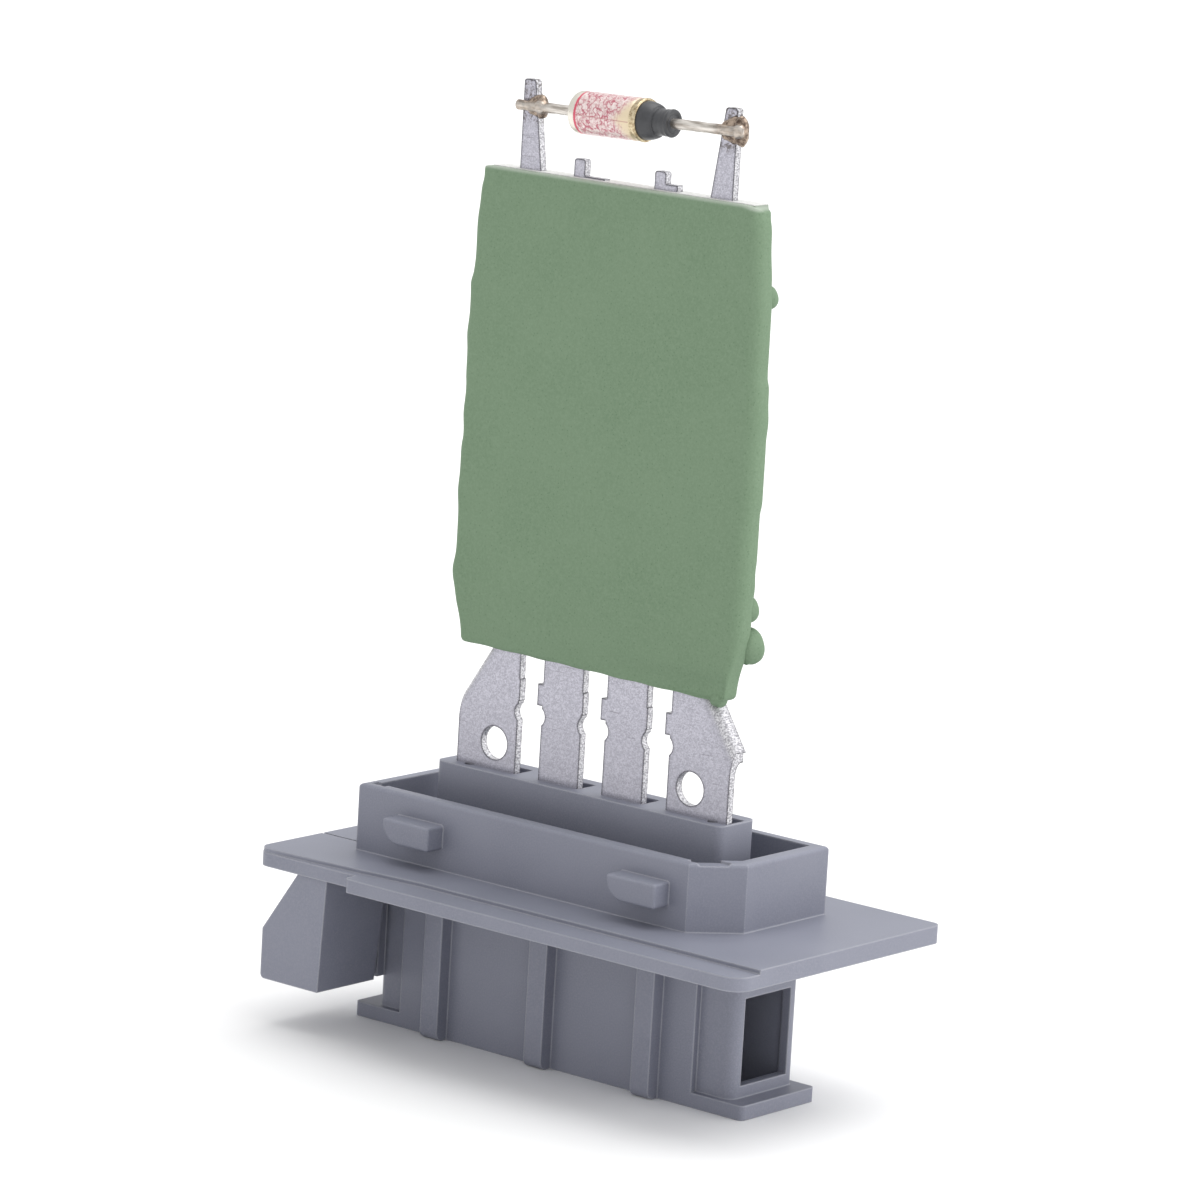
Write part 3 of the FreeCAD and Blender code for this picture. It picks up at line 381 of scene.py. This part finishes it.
shear_place = sheet.place(stretch=(1, 0.6, 1))
streaks = sheet.grain(0.15, 3, place=shear_place)
cut = sheet.blend(streaks.rises(0.35, 0.65), CUT_DARK, CUT_BRIGHT)
skinned = sheet.blend(flat_face, cut, skin)
sheet.feed("Roughness", speckle * -0.12 + 0.46 - scratches * 0.1)
rounded, narrow = rolled_edges(sheet, 0.2)
_, wide = rolled_edges(sheet, 0.42)
# Painted shade: a dark line along every edge, wider on the flat faces than on the cut ones.
edge_shade = wide * flat_face + narrow * (1 - flat_face) * 0.8
soot = strip_height.rises(72.2, 73.3) * sheet.grain(0.5, 4, rough=0.7).rises(0.47, 0.6)
skinned = sheet.blend(soot * 0.8, skinned, SOOT)
sheet.feed("Base Color", sheet.blend(edge_shade, skinned, EDGE_SHADE))
sheet.feed("Normal", sheet.relief((mottle + scratches * -0.4) * flat_face, 0.006, rounded))
STRIPS = [nodes[f"terminal_strip_{number}"] for number in (1, 2, 3, 4)]
for strip in STRIPS:
    sheet.dress(strip)
print("strips finished:", len(STRIPS))

# %% [markdown]
# ## Surfaces on a grid
#
# The dipped coating and the fuse are round, uneven forms that no sheet of flat faces gives. They
# could be sculpted, but a function of two parameters is exact and easy to correct: one runs round
# the piece and one along it. The function works on whole arrays, and the grid of points becomes
# the mesh in one call.

# %% From a grid of points to a piece
def grid_faces(rows, columns):
    """Faces of the grid: squares between neighbouring rows, whose columns join up round the
    piece, and a fan of triangles at either end to one more point each."""
    row, column = np.meshgrid(np.arange(rows - 1), np.arange(columns), indexing="ij")
    following = (column + 1) % columns
    squares = np.stack([row * columns + column, row * columns + following,
                        (row + 1) * columns + following, (row + 1) * columns + column], -1)
    around = np.arange(columns)
    ahead = (around + 1) % columns
    last = (rows - 1) * columns
    first_point, last_point = (np.full(columns, rows * columns + index) for index in (0, 1))
    first_fan = np.stack([first_point, ahead, around], -1)
    last_fan = np.stack([last_point, last + around, last + ahead], -1)
    return squares.reshape(-1, 4).tolist() + first_fan.tolist() + last_fan.tolist()


def grid_piece(name, points, slot, *replaced):
    """Closed skin over points[row, column] in millimetres, which rides on the root body. The
    first and last row are drawn together in one point each, in their middle."""
    start, finish = points[0].mean(0), points[-1].mean(0)
    places = np.concatenate([points.reshape(-1, 3), [start, finish]]) * MM
    mesh = bpy.data.meshes.new(name)
    mesh.from_pydata(places.tolist(), [], grid_faces(*points.shape[:2]))
    form = bmesh.new()
    form.from_mesh(mesh)
    bmesh.ops.recalc_face_normals(form, faces=form.faces)
    form.to_mesh(mesh)
    form.free()
    mesh.shade_smooth()
    piece = bpy.data.objects.new(name, mesh)
    scene.collection.objects.link(piece)
    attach(piece, "root")
    if replaced:
        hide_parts(*replaced)
    return piece


print("faces of a grid of 3 by 8 points:", len(grid_faces(3, 8)))


# %% Soft steps and soft lines
def smooth_step(low, high, values):
    """0 up to low, 1 from high on, and 3t² - 2t³ between them. It falls if low is the larger."""
    share = np.clip((values - low) / (high - low), 0, 1)
    return share * share * (3 - 2 * share)


def eased(readings, spread, at):
    """Smooth line past a few readings of (height, reach). At each height it is the mean of all
    the reaches, each weighted by exp(-(distance / spread)²)."""
    heights, reaches = np.array(readings).T
    weight = np.exp(-((at[:, None] - heights) / spread) ** 2)
    return (weight * reaches).sum(-1) / weight.sum(-1)


print("a soft step half way up:", smooth_step(0, 1, 0.5))

# %% [markdown]
# ## The cement coating
#
# The plate is dipped in a green paste and dried, so the coating is thin and even on the front,
# fuller round the folded ribbons inside, and it ends in a soft edge. A rounded box would miss
# that. Here a rounded rectangle runs up the plate, and its left and right sides follow slow
# curves with a small swelling at every fold. The skin turns over the top rim and goes down inside
# along the ceramic, so it is a cup with a wall.

# %% Sides of the coating
core_low, core_high = (np.array(corner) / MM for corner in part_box("ceramic_core"))
COAT_BOTTOM, COAT_TOP = 21.25, core_high[2] - 0.08
FRONT, BACK = core_low[1] - 0.3, core_high[1] + 0.5
LEFT_SIDE = ((21.0, -16.6), (22.7, -16.7), (24.3, -17.1), (25.8, -17.85), (27.3, -18.3),
             (30.5, -18.0), (34.0, -18.0), (38.0, -18.05), (44.0, -17.85), (50.0, -17.95),
             (54.0, -17.9), (60.0, -17.5), (62.5, -17.55), (65.0, -17.25), (68.5, -16.7))
RIGHT_SIDE = ((21.0, 16.5), (22.0, 16.6), (23.5, 16.9), (25.4, 17.7), (28.0, 18.05),
              (31.5, 18.05), (36.0, 18.25), (43.0, 18.45), (48.0, 18.4), (55.0, 18.12),
              (58.0, 18.1), (62.0, 17.75), (65.0, 17.6), (68.5, 17.1))
LEFT_FOLDS = (28.15, 35.95, 43.85, 51.65, 57.25)
RIGHT_FOLDS = (32.05, 47.75, 61.15)
SIDE_EASE, FOLD_REACH, FOLD_SWELLING = 1.7, 1.3, 0.16


def coating_side(readings, folds, outward, heights):
    """Reach of one side at each height: the eased line, pushed outward by FOLD_SWELLING times
    (the sum of exp(-(distance / FOLD_REACH)²) over the folds - 0.5). Outward is -1 or 1."""
    swelling = np.exp(-((heights[:, None] - np.array(folds)) / FOLD_REACH) ** 2).sum(-1)
    return eased(readings, SIDE_EASE, heights) + outward * FOLD_SWELLING * (swelling - 0.5)


print("coating from", COAT_BOTTOM, "to", round(COAT_TOP, 2), "mm")


# %% Rounded rectangles
def rounded_ring(half_across, half_deep, corner, arc_steps=9, across_steps=64, deep_steps=10):
    """Ring of points round a rectangle with round corners, about its middle. Corner k is
    centre_k + corner * (cos a, sin a) with a from k to k + 1 quarter turns, and straight runs
    join the corners. Sizes may be arrays, one entry per ring."""
    half_across, half_deep, corner = (np.asarray(size, float)[..., None]
                                      for size in (half_across, half_deep, corner))
    arcs = []
    for quarter, (side, depth) in enumerate(((1, 1), (-1, 1), (-1, -1), (1, -1))):
        angle = (quarter + np.linspace(0, 1, arc_steps)) * math.pi / 2
        across = side * (half_across - corner) + corner * np.cos(angle)
        deep = depth * (half_deep - corner) + corner * np.sin(angle)
        arcs.append(np.stack([across, deep], -1))
    runs = []
    for quarter, steps in enumerate((across_steps, deep_steps) * 2):
        share = np.linspace(0, 1, steps + 2)[1:-1, None]
        leaving, arriving = arcs[quarter][..., -1:, :], arcs[(quarter + 1) % 4][..., :1, :]
        runs += [arcs[quarter], leaving * (1 - share) + arriving * share]
    return np.concatenate(runs, -2)


print("points in a ring:", len(rounded_ring(2.0, 1.0, 0.5)))

# %% From the rim to the underside
COAT_RIM, COAT_FOOT = 0.16, 0.5


def coating_rings():
    """Height of every ring and how far it is drawn in: over a quarter circle of COAT_RIM, down
    the outside, round a quarter circle of COAT_FOOT, and a little way under the plate."""
    roll = np.linspace(0, math.pi / 2, 7)
    wall = np.linspace(COAT_TOP - COAT_RIM, COAT_BOTTOM + COAT_FOOT, 130)[1:]
    under = np.array([0.7, 0.9, 1.1, 1.3])
    heights = [[COAT_TOP], COAT_TOP - COAT_RIM + COAT_RIM * np.cos(roll), wall,
               COAT_BOTTOM + COAT_FOOT - COAT_FOOT * np.sin(roll[1:]), 0 * under + COAT_BOTTOM]
    drawn_in = [[COAT_RIM + 0.02], COAT_RIM - COAT_RIM * np.sin(roll), 0 * wall,
                COAT_FOOT - COAT_FOOT * np.cos(roll[1:]), under]
    return np.concatenate(heights), np.concatenate(drawn_in)


print("rings on the outside:", len(coating_rings()[0]))


# %% Uneven ends and front
def lower_sag(across, up):
    """How far the lowest 4 mm rise: 0.04 sin(1.3 x) - 0.015 x - 0.19, and 0.2 more at the right
    end."""
    share = 1 - smooth_step(COAT_BOTTOM, COAT_BOTTOM + 4, up)
    return share * (0.04 * np.sin(across * 1.3) - 0.015 * across - 0.19
                    + 0.2 * smooth_step(16.0, 17.5, across))


def upper_drop(across, deep, up):
    """How far the topmost 1.5 mm drop: at the right end 0.1 in front and 0.75 behind, and 0.15
    at the left end."""
    end = smooth_step(15.2, 17.3, across) * (0.1 + 0.65 * smooth_step(-2.4, -0.2, deep))
    end = end + smooth_step(-15.6, -16.6, across) * 0.15
    return end * smooth_step(COAT_TOP - 1.5, COAT_TOP, up)


def front_relief(across, up):
    """How far the front stands out: a slow and a fine product of two sines each, less a step
    back of up to 0.52 near the lower end, which grows to the right."""
    wave = np.sin(across * 0.33 + 1.1) * np.sin(up * 0.19 + 0.5)
    ripple = np.sin(across * 0.9 + up * 0.35) * np.sin(up * 0.62 - across * 0.2)
    step_back = 0.12 * smooth_step(27.6, 24.4, up) + 0.4 * smooth_step(23.8, 21.9, up)
    step_back = step_back * (0.2 + 0.8 * smooth_step(0.0, 13.0, across))
    return 0.06 * wave + 0.02 * ripple - step_back


print("end and front helpers ready")


# %% Skin of the coating
def coating_points():
    """Rounded rectangles at each height, moved by the three functions above, with two square
    rings before them that line the cup along the ceramic. The corners are tighter near both
    ends, where the coating is thin over the ceramic's square corners."""
    heights, drawn_in = coating_rings()
    left = coating_side(LEFT_SIDE, LEFT_FOLDS, -1, heights)
    right = coating_side(RIGHT_SIDE, RIGHT_FOLDS, 1, heights)
    half_deep = (BACK - FRONT) / 2 - drawn_in
    near_end = smooth_step(66.5, 67.8, heights) + smooth_step(26.8, 24.6, heights)
    corner = np.minimum(1.2 - 0.35 * near_end - drawn_in, half_deep - 0.02)
    ring = rounded_ring((right - left) / 2 - drawn_in, half_deep, np.maximum(corner, 0.1))
    across = ring[..., 0] + ((right + left) / 2)[:, None]
    deep = ring[..., 1] + (BACK + FRONT) / 2
    up = heights[:, None] + 0 * across
    up = up + lower_sag(across, up)
    up = up - upper_drop(across, deep, up)
    outside = smooth_step(0.25, 0.02, drawn_in)[:, None]
    front_share = smooth_step(FRONT + 0.6, FRONT, deep)
    deep = deep - outside * front_share * front_relief(across, up)
    half_core = (core_high - core_low) / 2 + 0.02
    lining = rounded_ring(half_core[0], half_core[1], 0.05) + (core_high[:2] + core_low[:2]) / 2
    levels = [np.full((len(lining), 1), level) for level in (core_low[2] - 0.05, COAT_TOP)]
    inside = [np.concatenate([lining, level], -1)[None] for level in levels]
    return np.concatenate([*inside, np.stack([across, deep, up], -1)])


coating = grid_piece("green_coating", coating_points(), "green_cement", "cement_coating")
print("coating:", len(coating.data.polygons), "faces")

# %% [markdown]
# The paste also left three round drops behind the right side and one that hangs below. Lumps
# pushed out of the coating's grid would look like spikes, because its points are too far apart
# there. So they are balls of their own with a slow wave in their radius, sunk into the skin.

# %% Drops of cement
DROPS = {"upper": ((16.95, 0.38, 59.45), 1.1),
         "lower": ((17.05, 0.4, 29.7), 1.05, (1, 1, 1.15)),
         "joint": ((16.65, 1.05, 26.05), 1.85, (1, 0.8, 0.94)),
         "hanging": ((15.4, -1.15, 21.0), 0.84)}
POLE = 0.06


def drop_points(centre, radius, squeeze=(1, 1, 1), rows=24, columns=32):
    """Uneven ball: centre + radius * (1 + 0.05 sin(2a + 3p) + 0.03 sin(5a)) * squeeze * direction,
    with a going round it and p from pole to pole. The first and last ring stop POLE radians
    short of the poles, where the grid's end points close them."""
    polar = np.linspace(POLE, math.pi - POLE, rows)[:, None]
    around = np.arange(columns) * 2 * math.pi / columns
    size = radius * (1 + 0.05 * np.sin(2 * around + 3 * polar) + 0.03 * np.sin(5 * around))
    direction = np.stack([np.sin(polar) * np.cos(around), np.sin(polar) * np.sin(around),
                          np.cos(polar) + 0 * around], -1)
    return np.array(centre) + size[..., None] * direction * np.array(squeeze)


drops = [grid_piece(f"cement_drop_{name}", drop_points(*form), "green_cement")
         for name, form in DROPS.items()]
print("drops of cement:", len(drops))

# %% [markdown]
# The cement dries matt and fine-grained, like an eggshell. One flat green would look like paint,
# so a fine grain and small pits give the skin, and a slow cloud varies the tone. At the top rim
# the paste ran thin and the white ceramic shows through, so the height on the piece fades the
# green there.

# %% Finish of the coating
GREEN, GREEN_PALE = (0.141, 0.219, 0.133), (0.156, 0.235, 0.146)
GREEN_GRAIN, GREEN_PIT = (0.187, 0.270, 0.176), (0.128, 0.201, 0.120)
GREEN_THIN = (0.60, 0.64, 0.58)

cement = Finish("green_cement", ior=1.45)
drift = cement.grain(7.0, 3)
fine = cement.grain(0.22, 4, rough=0.7)
pits = cement.cells(0.5).rises(0.08, 0.22)
green = cement.blend(drift.rises(0.3, 0.7), GREEN, GREEN_PALE)
green = cement.blend(fine.rises(0.3, 0.75), green, GREEN_GRAIN)
green = cement.blend(pits, GREEN_PIT, green)
across, _, height = cement.split(cement.place())
thin = (across.rises(15.3, 17.2) * 0.3 + height).rises(67.75, 68.2)
cement.feed("Base Color", cement.blend(thin * 0.5, green, GREEN_THIN))
cement.feed("Roughness", fine * 0.15 + 0.72)
cement.feed("Normal", cement.relief(fine * 0.7 + pits * 0.3, 0.02))
for piece in (coating, *drops):
    cement.dress(piece)
print("cement on", 1 + len(drops), "pieces")

# %% [markdown]
# ## The ceramic plate and the ribbons
#
# Only the plate's top edge shows, as chalky white fired ceramic. The resistor ribbons lie under
# the coating, and are drawn alloy, so their grain is stretched along the ribbon. Both keep their
# CAD shapes and take a plain pair of tones from one noise each.

# %% Finishes of the ceramic and the ribbons
CHALK, CHALK_PALE = (0.58, 0.58, 0.57), (0.72, 0.72, 0.70)
ALLOY_DARK, ALLOY_PALE = (0.36, 0.35, 0.33), (0.52, 0.5, 0.47)

ceramic = Finish("fired_ceramic", ior=1.5)
chalk = ceramic.grain(0.3, 4, rough=0.7)
ceramic.feed("Base Color", ceramic.blend(chalk.rises(0.3, 0.7), CHALK, CHALK_PALE))
ceramic.feed("Roughness", chalk * 0.2 + 0.6)
ceramic.feed("Normal", ceramic.relief(chalk, 0.02))
ceramic.dress(nodes["ceramic_core"])

alloy = Finish("resistance_alloy", metallic=0.9)
drawn = alloy.grain(0.3, 3, place=alloy.place(stretch=(0.1, 1, 1)))
alloy.feed("Base Color", alloy.blend(drawn, ALLOY_DARK, ALLOY_PALE))
alloy.feed("Roughness", drawn * 0.2 + 0.35)
for number in (1, 2, 3):
    alloy.dress(nodes[f"resistor_element_{number}"])
print("finished:", ceramic.material.name, "and", alloy.material.name)

# %% [markdown]
# ## The thermal fuse
#
# The fuse is a small turned can with a resin seal at one end and a wire at each end. All of it is
# round about one axis, which leans by one degree. Cylinders and cones could be stacked, but their
# joints would show. A turned piece is a profile of radius against length, swung round that axis,
# so one function makes the can, the seal and both wires with all their rolled edges.

# %% Turned pieces on the fuse's axis
FUSE_HEIGHT, FUSE_DEPTH, FUSE_LEAN = 74.6, -2.04, math.radians(1.0)


def on_fuse_axis(along, out, around):
    """Point along the axis, out from it by a radius at an angle, then leaned about Y."""
    depth = FUSE_DEPTH - out * np.cos(around)
    rise = out * np.sin(around)
    across = along * math.cos(FUSE_LEAN) - rise * math.sin(FUSE_LEAN)
    height = FUSE_HEIGHT + along * math.sin(FUSE_LEAN) + rise * math.cos(FUSE_LEAN)
    return np.stack([across, depth + 0 * across, height], -1)


def turned_points(along, radius, columns=64):
    """Profile of radius against length, swung once round the fuse's axis."""
    around = np.arange(columns) * 2 * math.pi / columns
    along, radius = np.asarray(along, float)[:, None], np.asarray(radius, float)[:, None]
    return on_fuse_axis(along + 0 * around, radius + 0 * around, around + 0 * radius)


def arc_profile(centre, radius, start, finish, steps):
    """Length and radius of points on an arc from start to finish in degrees, for rolled edges:
    centre + radius * (cos a, sin a)."""
    angle = np.radians(np.linspace(start, finish, steps))
    return centre[0] + radius * np.cos(angle), centre[1] + radius * np.sin(angle)


print("the fuse's axis is", FUSE_HEIGHT, "mm up")

# %% Can of the fuse
CAN_START, CAN_END, CAN_RADIUS = -5.1, 3.33, 2.075
SHOULDER, CAN_RIM = 0.55, 0.17
ROLLED_PROUD = 0.03

shoulder = arc_profile((CAN_START + SHOULDER, CAN_RADIUS - SHOULDER), SHOULDER, 180, 90, 7)
can_rim = arc_profile((CAN_END - CAN_RIM, CAN_RADIUS + ROLLED_PROUD - CAN_RIM), CAN_RIM, 90, -40, 9)
body = np.linspace(-4.4, 2.98, 70)
groove = 0.09 * np.exp(-((body - 2.62) / 0.14) ** 2) + 0.03 * np.exp(-((body + 4.0) / 0.2) ** 2)
can_along = np.concatenate([[CAN_START, CAN_START], shoulder[0], body, can_rim[0], [3.2, 3.1]])
can_radius = np.concatenate([[0.05, 0.7], shoulder[1], CAN_RADIUS - groove, can_rim[1],
                             [1.7, 0.05]])
can = grid_piece("fuse_can", turned_points(can_along, can_radius), "fuse_can", "fuse_case")
print("can:", len(can.data.polygons), "faces")

# %% Resin seal of the fuse
DOME_START, NECK_RADIUS = 3.15, 1.27

dome = np.linspace(DOME_START, 4.72, 24)
dome_fall = np.clip(1 - ((dome - DOME_START) / 1.7) ** 2, 0, 1)
dome_radius = NECK_RADIUS + 0.6 * np.sqrt(dome_fall)
neck = np.linspace(4.75, 6.32, 20)
neck_radius = NECK_RADIUS + 0.08 * ((neck - 5.4) / 0.9) ** 2 + 0.02 * np.sin(neck * 9)
end_along = [6.42, 6.48, 6.5, 6.5, 6.38, 6.38, 6.46, 6.46]
end_radius = [1.34, 1.28, 1.2, 1.0, 0.92, 0.78, 0.7, 0.05]
seal_along = np.concatenate([[3.12], dome, neck, end_along])
seal_radius = np.concatenate([[0.05], dome_radius, neck_radius, end_radius])
seal = grid_piece("fuse_seal_dressed", turned_points(seal_along, seal_radius), "fuse_resin",
                  "fuse_seal")
print("seal:", len(seal.data.polygons), "faces")

# %% [markdown]
# Each wire is pressed flat on its arm and welded. The weld is a small frozen puddle: the wire
# swells over the arm's front, uneven all round, and flat where it touches the sheet. A ball on
# the wire would look stuck on. The swelling is added to the wire's radius instead, so wire and
# weld are one surface, as they are in the metal.

# %% Wires with their welds
ARM_FACE = -1.54
WIRE_RADIUS, TIP_ROUND, TIP_LENGTH = 0.5, 0.06, 0.12


def weld_swelling(along, around, middle, half_width, height):
    """height * (1 - u²)^0.4 over the weld, u being the distance from its middle, times a
    lumpy factor of sines round and along it."""
    distance = np.clip(np.abs(along - middle) / half_width, 0, 1)
    lumpy = 1 + 0.1 * np.sin(2 * around + along * 2.1) + 0.08 * np.sin(5 * around - along * 5.3)
    return height * (1 - distance ** 2) ** 0.4 * (distance < 1) * lumpy


def wire_points(start, finish, middle, half_width, height, lump_at, rows=150, columns=40):
    """Tube of WIRE_RADIUS whose tips close in by a quarter circle over TIP_LENGTH. The weld's
    swelling counts in full above, below and behind the wire, and little in front, because the
    puddle lies on the arm. A lump of half a millimetre to either side goes all round, and
    nothing reaches behind the arm's face."""
    around = np.arange(columns) * 2 * math.pi / columns
    along = np.linspace(start, finish, rows)[:, None]
    from_tip = np.clip(np.minimum(along - start, finish - along) / TIP_LENGTH, 0, 1)
    tip = np.sqrt(np.clip(1 - (1 - from_tip) ** 2, 0, 1)) * TIP_ROUND - TIP_ROUND
    radius = WIRE_RADIUS + tip + 0.012 * np.sin(along * 3.1 + around * 2)
    from_front = np.abs((around + math.pi) % (2 * math.pi) - math.pi)
    spread = 0.06 + 0.94 * smooth_step(1.2, 1.9, from_front)
    radius = radius + spread * weld_swelling(along, around, middle, half_width, height)
    radius = radius + weld_swelling(along, around, lump_at, 0.5, 0.16)
    points = on_fuse_axis(along + 0 * around, radius, around + 0 * along)
    points[..., 1] = np.minimum(points[..., 1], ARM_FACE + 0.02)
    return points


left_wire = grid_piece("fuse_wire_left", wire_points(-12.7, -4.95, -10.35, 1.0, 0.6, -9.7),
                       "lead_metal", "fuse_lead_left")
right_wire = grid_piece("fuse_wire_right", wire_points(6.3, 15.15, 13.7, 1.45, 0.85, 14.5),
                        "lead_metal", "fuse_lead_right")
print("wires:", len(left_wire.data.polygons), "faces each")

# %% [markdown]
# ## Finishes of the fuse
#
# The can is silver metal under a pale pink coat with thin crimson marks. They could be painted in
# an image, but noise needs no file and follows the surface: the marks are plain loops, drawn where
# a cloudy noise crosses its middle value. A crimson ring runs round by the shoulder, a thin line
# along the side, and the coat fades to cream before the golden rim.

# %% Marks on the can
FUSE_SHIFT = (0, -FUSE_DEPTH, -FUSE_HEIGHT)
PINK, PINK_PALE, CREAM = (0.62, 0.46, 0.45), (0.80, 0.70, 0.68), (0.72, 0.60, 0.42)
CRIMSON, CRIMSON_LINE, CRIMSON_RING = (0.42, 0.06, 0.11), (0.40, 0.16, 0.16), (0.60, 0.09, 0.14)

metal_can = Finish("printed_can")
spot = metal_can.place(shift=FUSE_SHIFT)
along, _, rise = metal_can.split(spot)
printed = along.rises(-4.2, -4.1) * along.rises(2.6, 2.5)
ring_field = along.rises(-4.15, -4.08) * along.rises(-3.82, -3.9)
worn = metal_can.grain(0.35, 4, rough=0.7)
loops = metal_can.grain(0.85, 2, place=metal_can.place(shift=FUSE_SHIFT, stretch=(1, 1, 0.8)))
curls = metal_can.grain(0.5, 1)
marks = abs(loops - 0.5).rises(0.04, 0.012).most(abs(curls - 0.55).rises(0.045, 0.015) * 0.7)
fade = (along - abs(rise) * 0.7 + worn * 1.2).rises(0.7, 2.3)
divider = abs(rise + 0.12).rises(0.07, 0.03)
pink = metal_can.blend(worn.rises(0.35, 0.65), PINK, PINK_PALE)
pink = metal_can.blend(fade, pink, CREAM)
inked = metal_can.blend(marks * (1 - fade) * 0.85, pink, CRIMSON)
inked = metal_can.blend(divider * 0.6, inked, CRIMSON_LINE)
inked = metal_can.blend(ring_field, inked, CRIMSON_RING)
print("marks on the can:", len(metal_can.tree.nodes), "nodes")

# %% Metal of the can
GOLD_DARK, GOLD = (0.36, 0.27, 0.16), (0.72, 0.62, 0.42)
SILVER_DARK, SILVER = (0.66, 0.62, 0.54), (0.86, 0.83, 0.76)

gold = metal_can.blend(worn.rises(0.35, 0.65), GOLD_DARK, GOLD)
silver = metal_can.blend(worn, SILVER_DARK, SILVER)
bare = metal_can.blend(along.rises(-1, 0), silver, gold)
metal_can.feed("Base Color", metal_can.blend(printed, bare, inked))
metal_can.feed("Metallic", 1 - printed * 0.8)
metal_can.feed("Roughness", worn * 0.15 + 0.22)
metal_can.feed("Normal", metal_can.relief(worn, 0.006))
metal_can.dress(can)
print("can finished with", len(metal_can.tree.nodes), "nodes")

# %% [markdown]
# The seal is dark cast resin with a soft gloss and a slightly uneven skin. The wires are tinned
# and drawn, so their grain is stretched along them, and welding turned them brown. Masks by the
# length along the fuse's axis bring the heat colours in at both welds, and leave the ridge of the
# wire lighter.

# %% Finishes of the seal and the wires
RESIN, RESIN_PALE = (0.030, 0.031, 0.034), (0.058, 0.060, 0.066)
TIN_SHADE, TIN_SHINE = (0.34, 0.30, 0.26), (0.78, 0.74, 0.69)
SCORCHED, BROWNED = (0.09, 0.062, 0.048), (0.48, 0.38, 0.30)

resin = Finish("dark_resin", ior=1.5)
cast = resin.grain(0.5, 3)
resin.feed("Base Color", resin.blend(cast, RESIN, RESIN_PALE))
resin.feed("Roughness", cast * 0.15 + 0.3)
resin.feed("Normal", resin.relief(resin.grain(0.25, 3), 0.012))
resin.dress(seal)

wire = Finish("tinned_wire", metallic=0.9)
along, deep, _ = wire.split(wire.place(shift=FUSE_SHIFT))
drawn = wire.grain(0.3, 3, place=wire.place(stretch=(0.12, 1, 1)))
tinned = wire.blend(drawn.rises(0.3, 0.7), TIN_SHADE, TIN_SHINE)
heat = along.rises(-8.2, -9.3).most(along.rises(11.2, 12.2)) * (1 - deep.rises(-0.2, -0.45) * 0.6)
scorch = wire.grain(0.6, 4, rough=0.7)
burnt = wire.blend(scorch.rises(0.35, 0.65), SCORCHED, BROWNED)
wire.feed("Base Color", wire.blend(heat, tinned, burnt))
wire.feed("Roughness", scorch * 0.25 + 0.2)
wire.feed("Normal", wire.relief(scorch, 0.03))
wire.dress(left_wire)
wire.dress(right_wire)
print("finished:", resin.material.name, "and", wire.material.name)
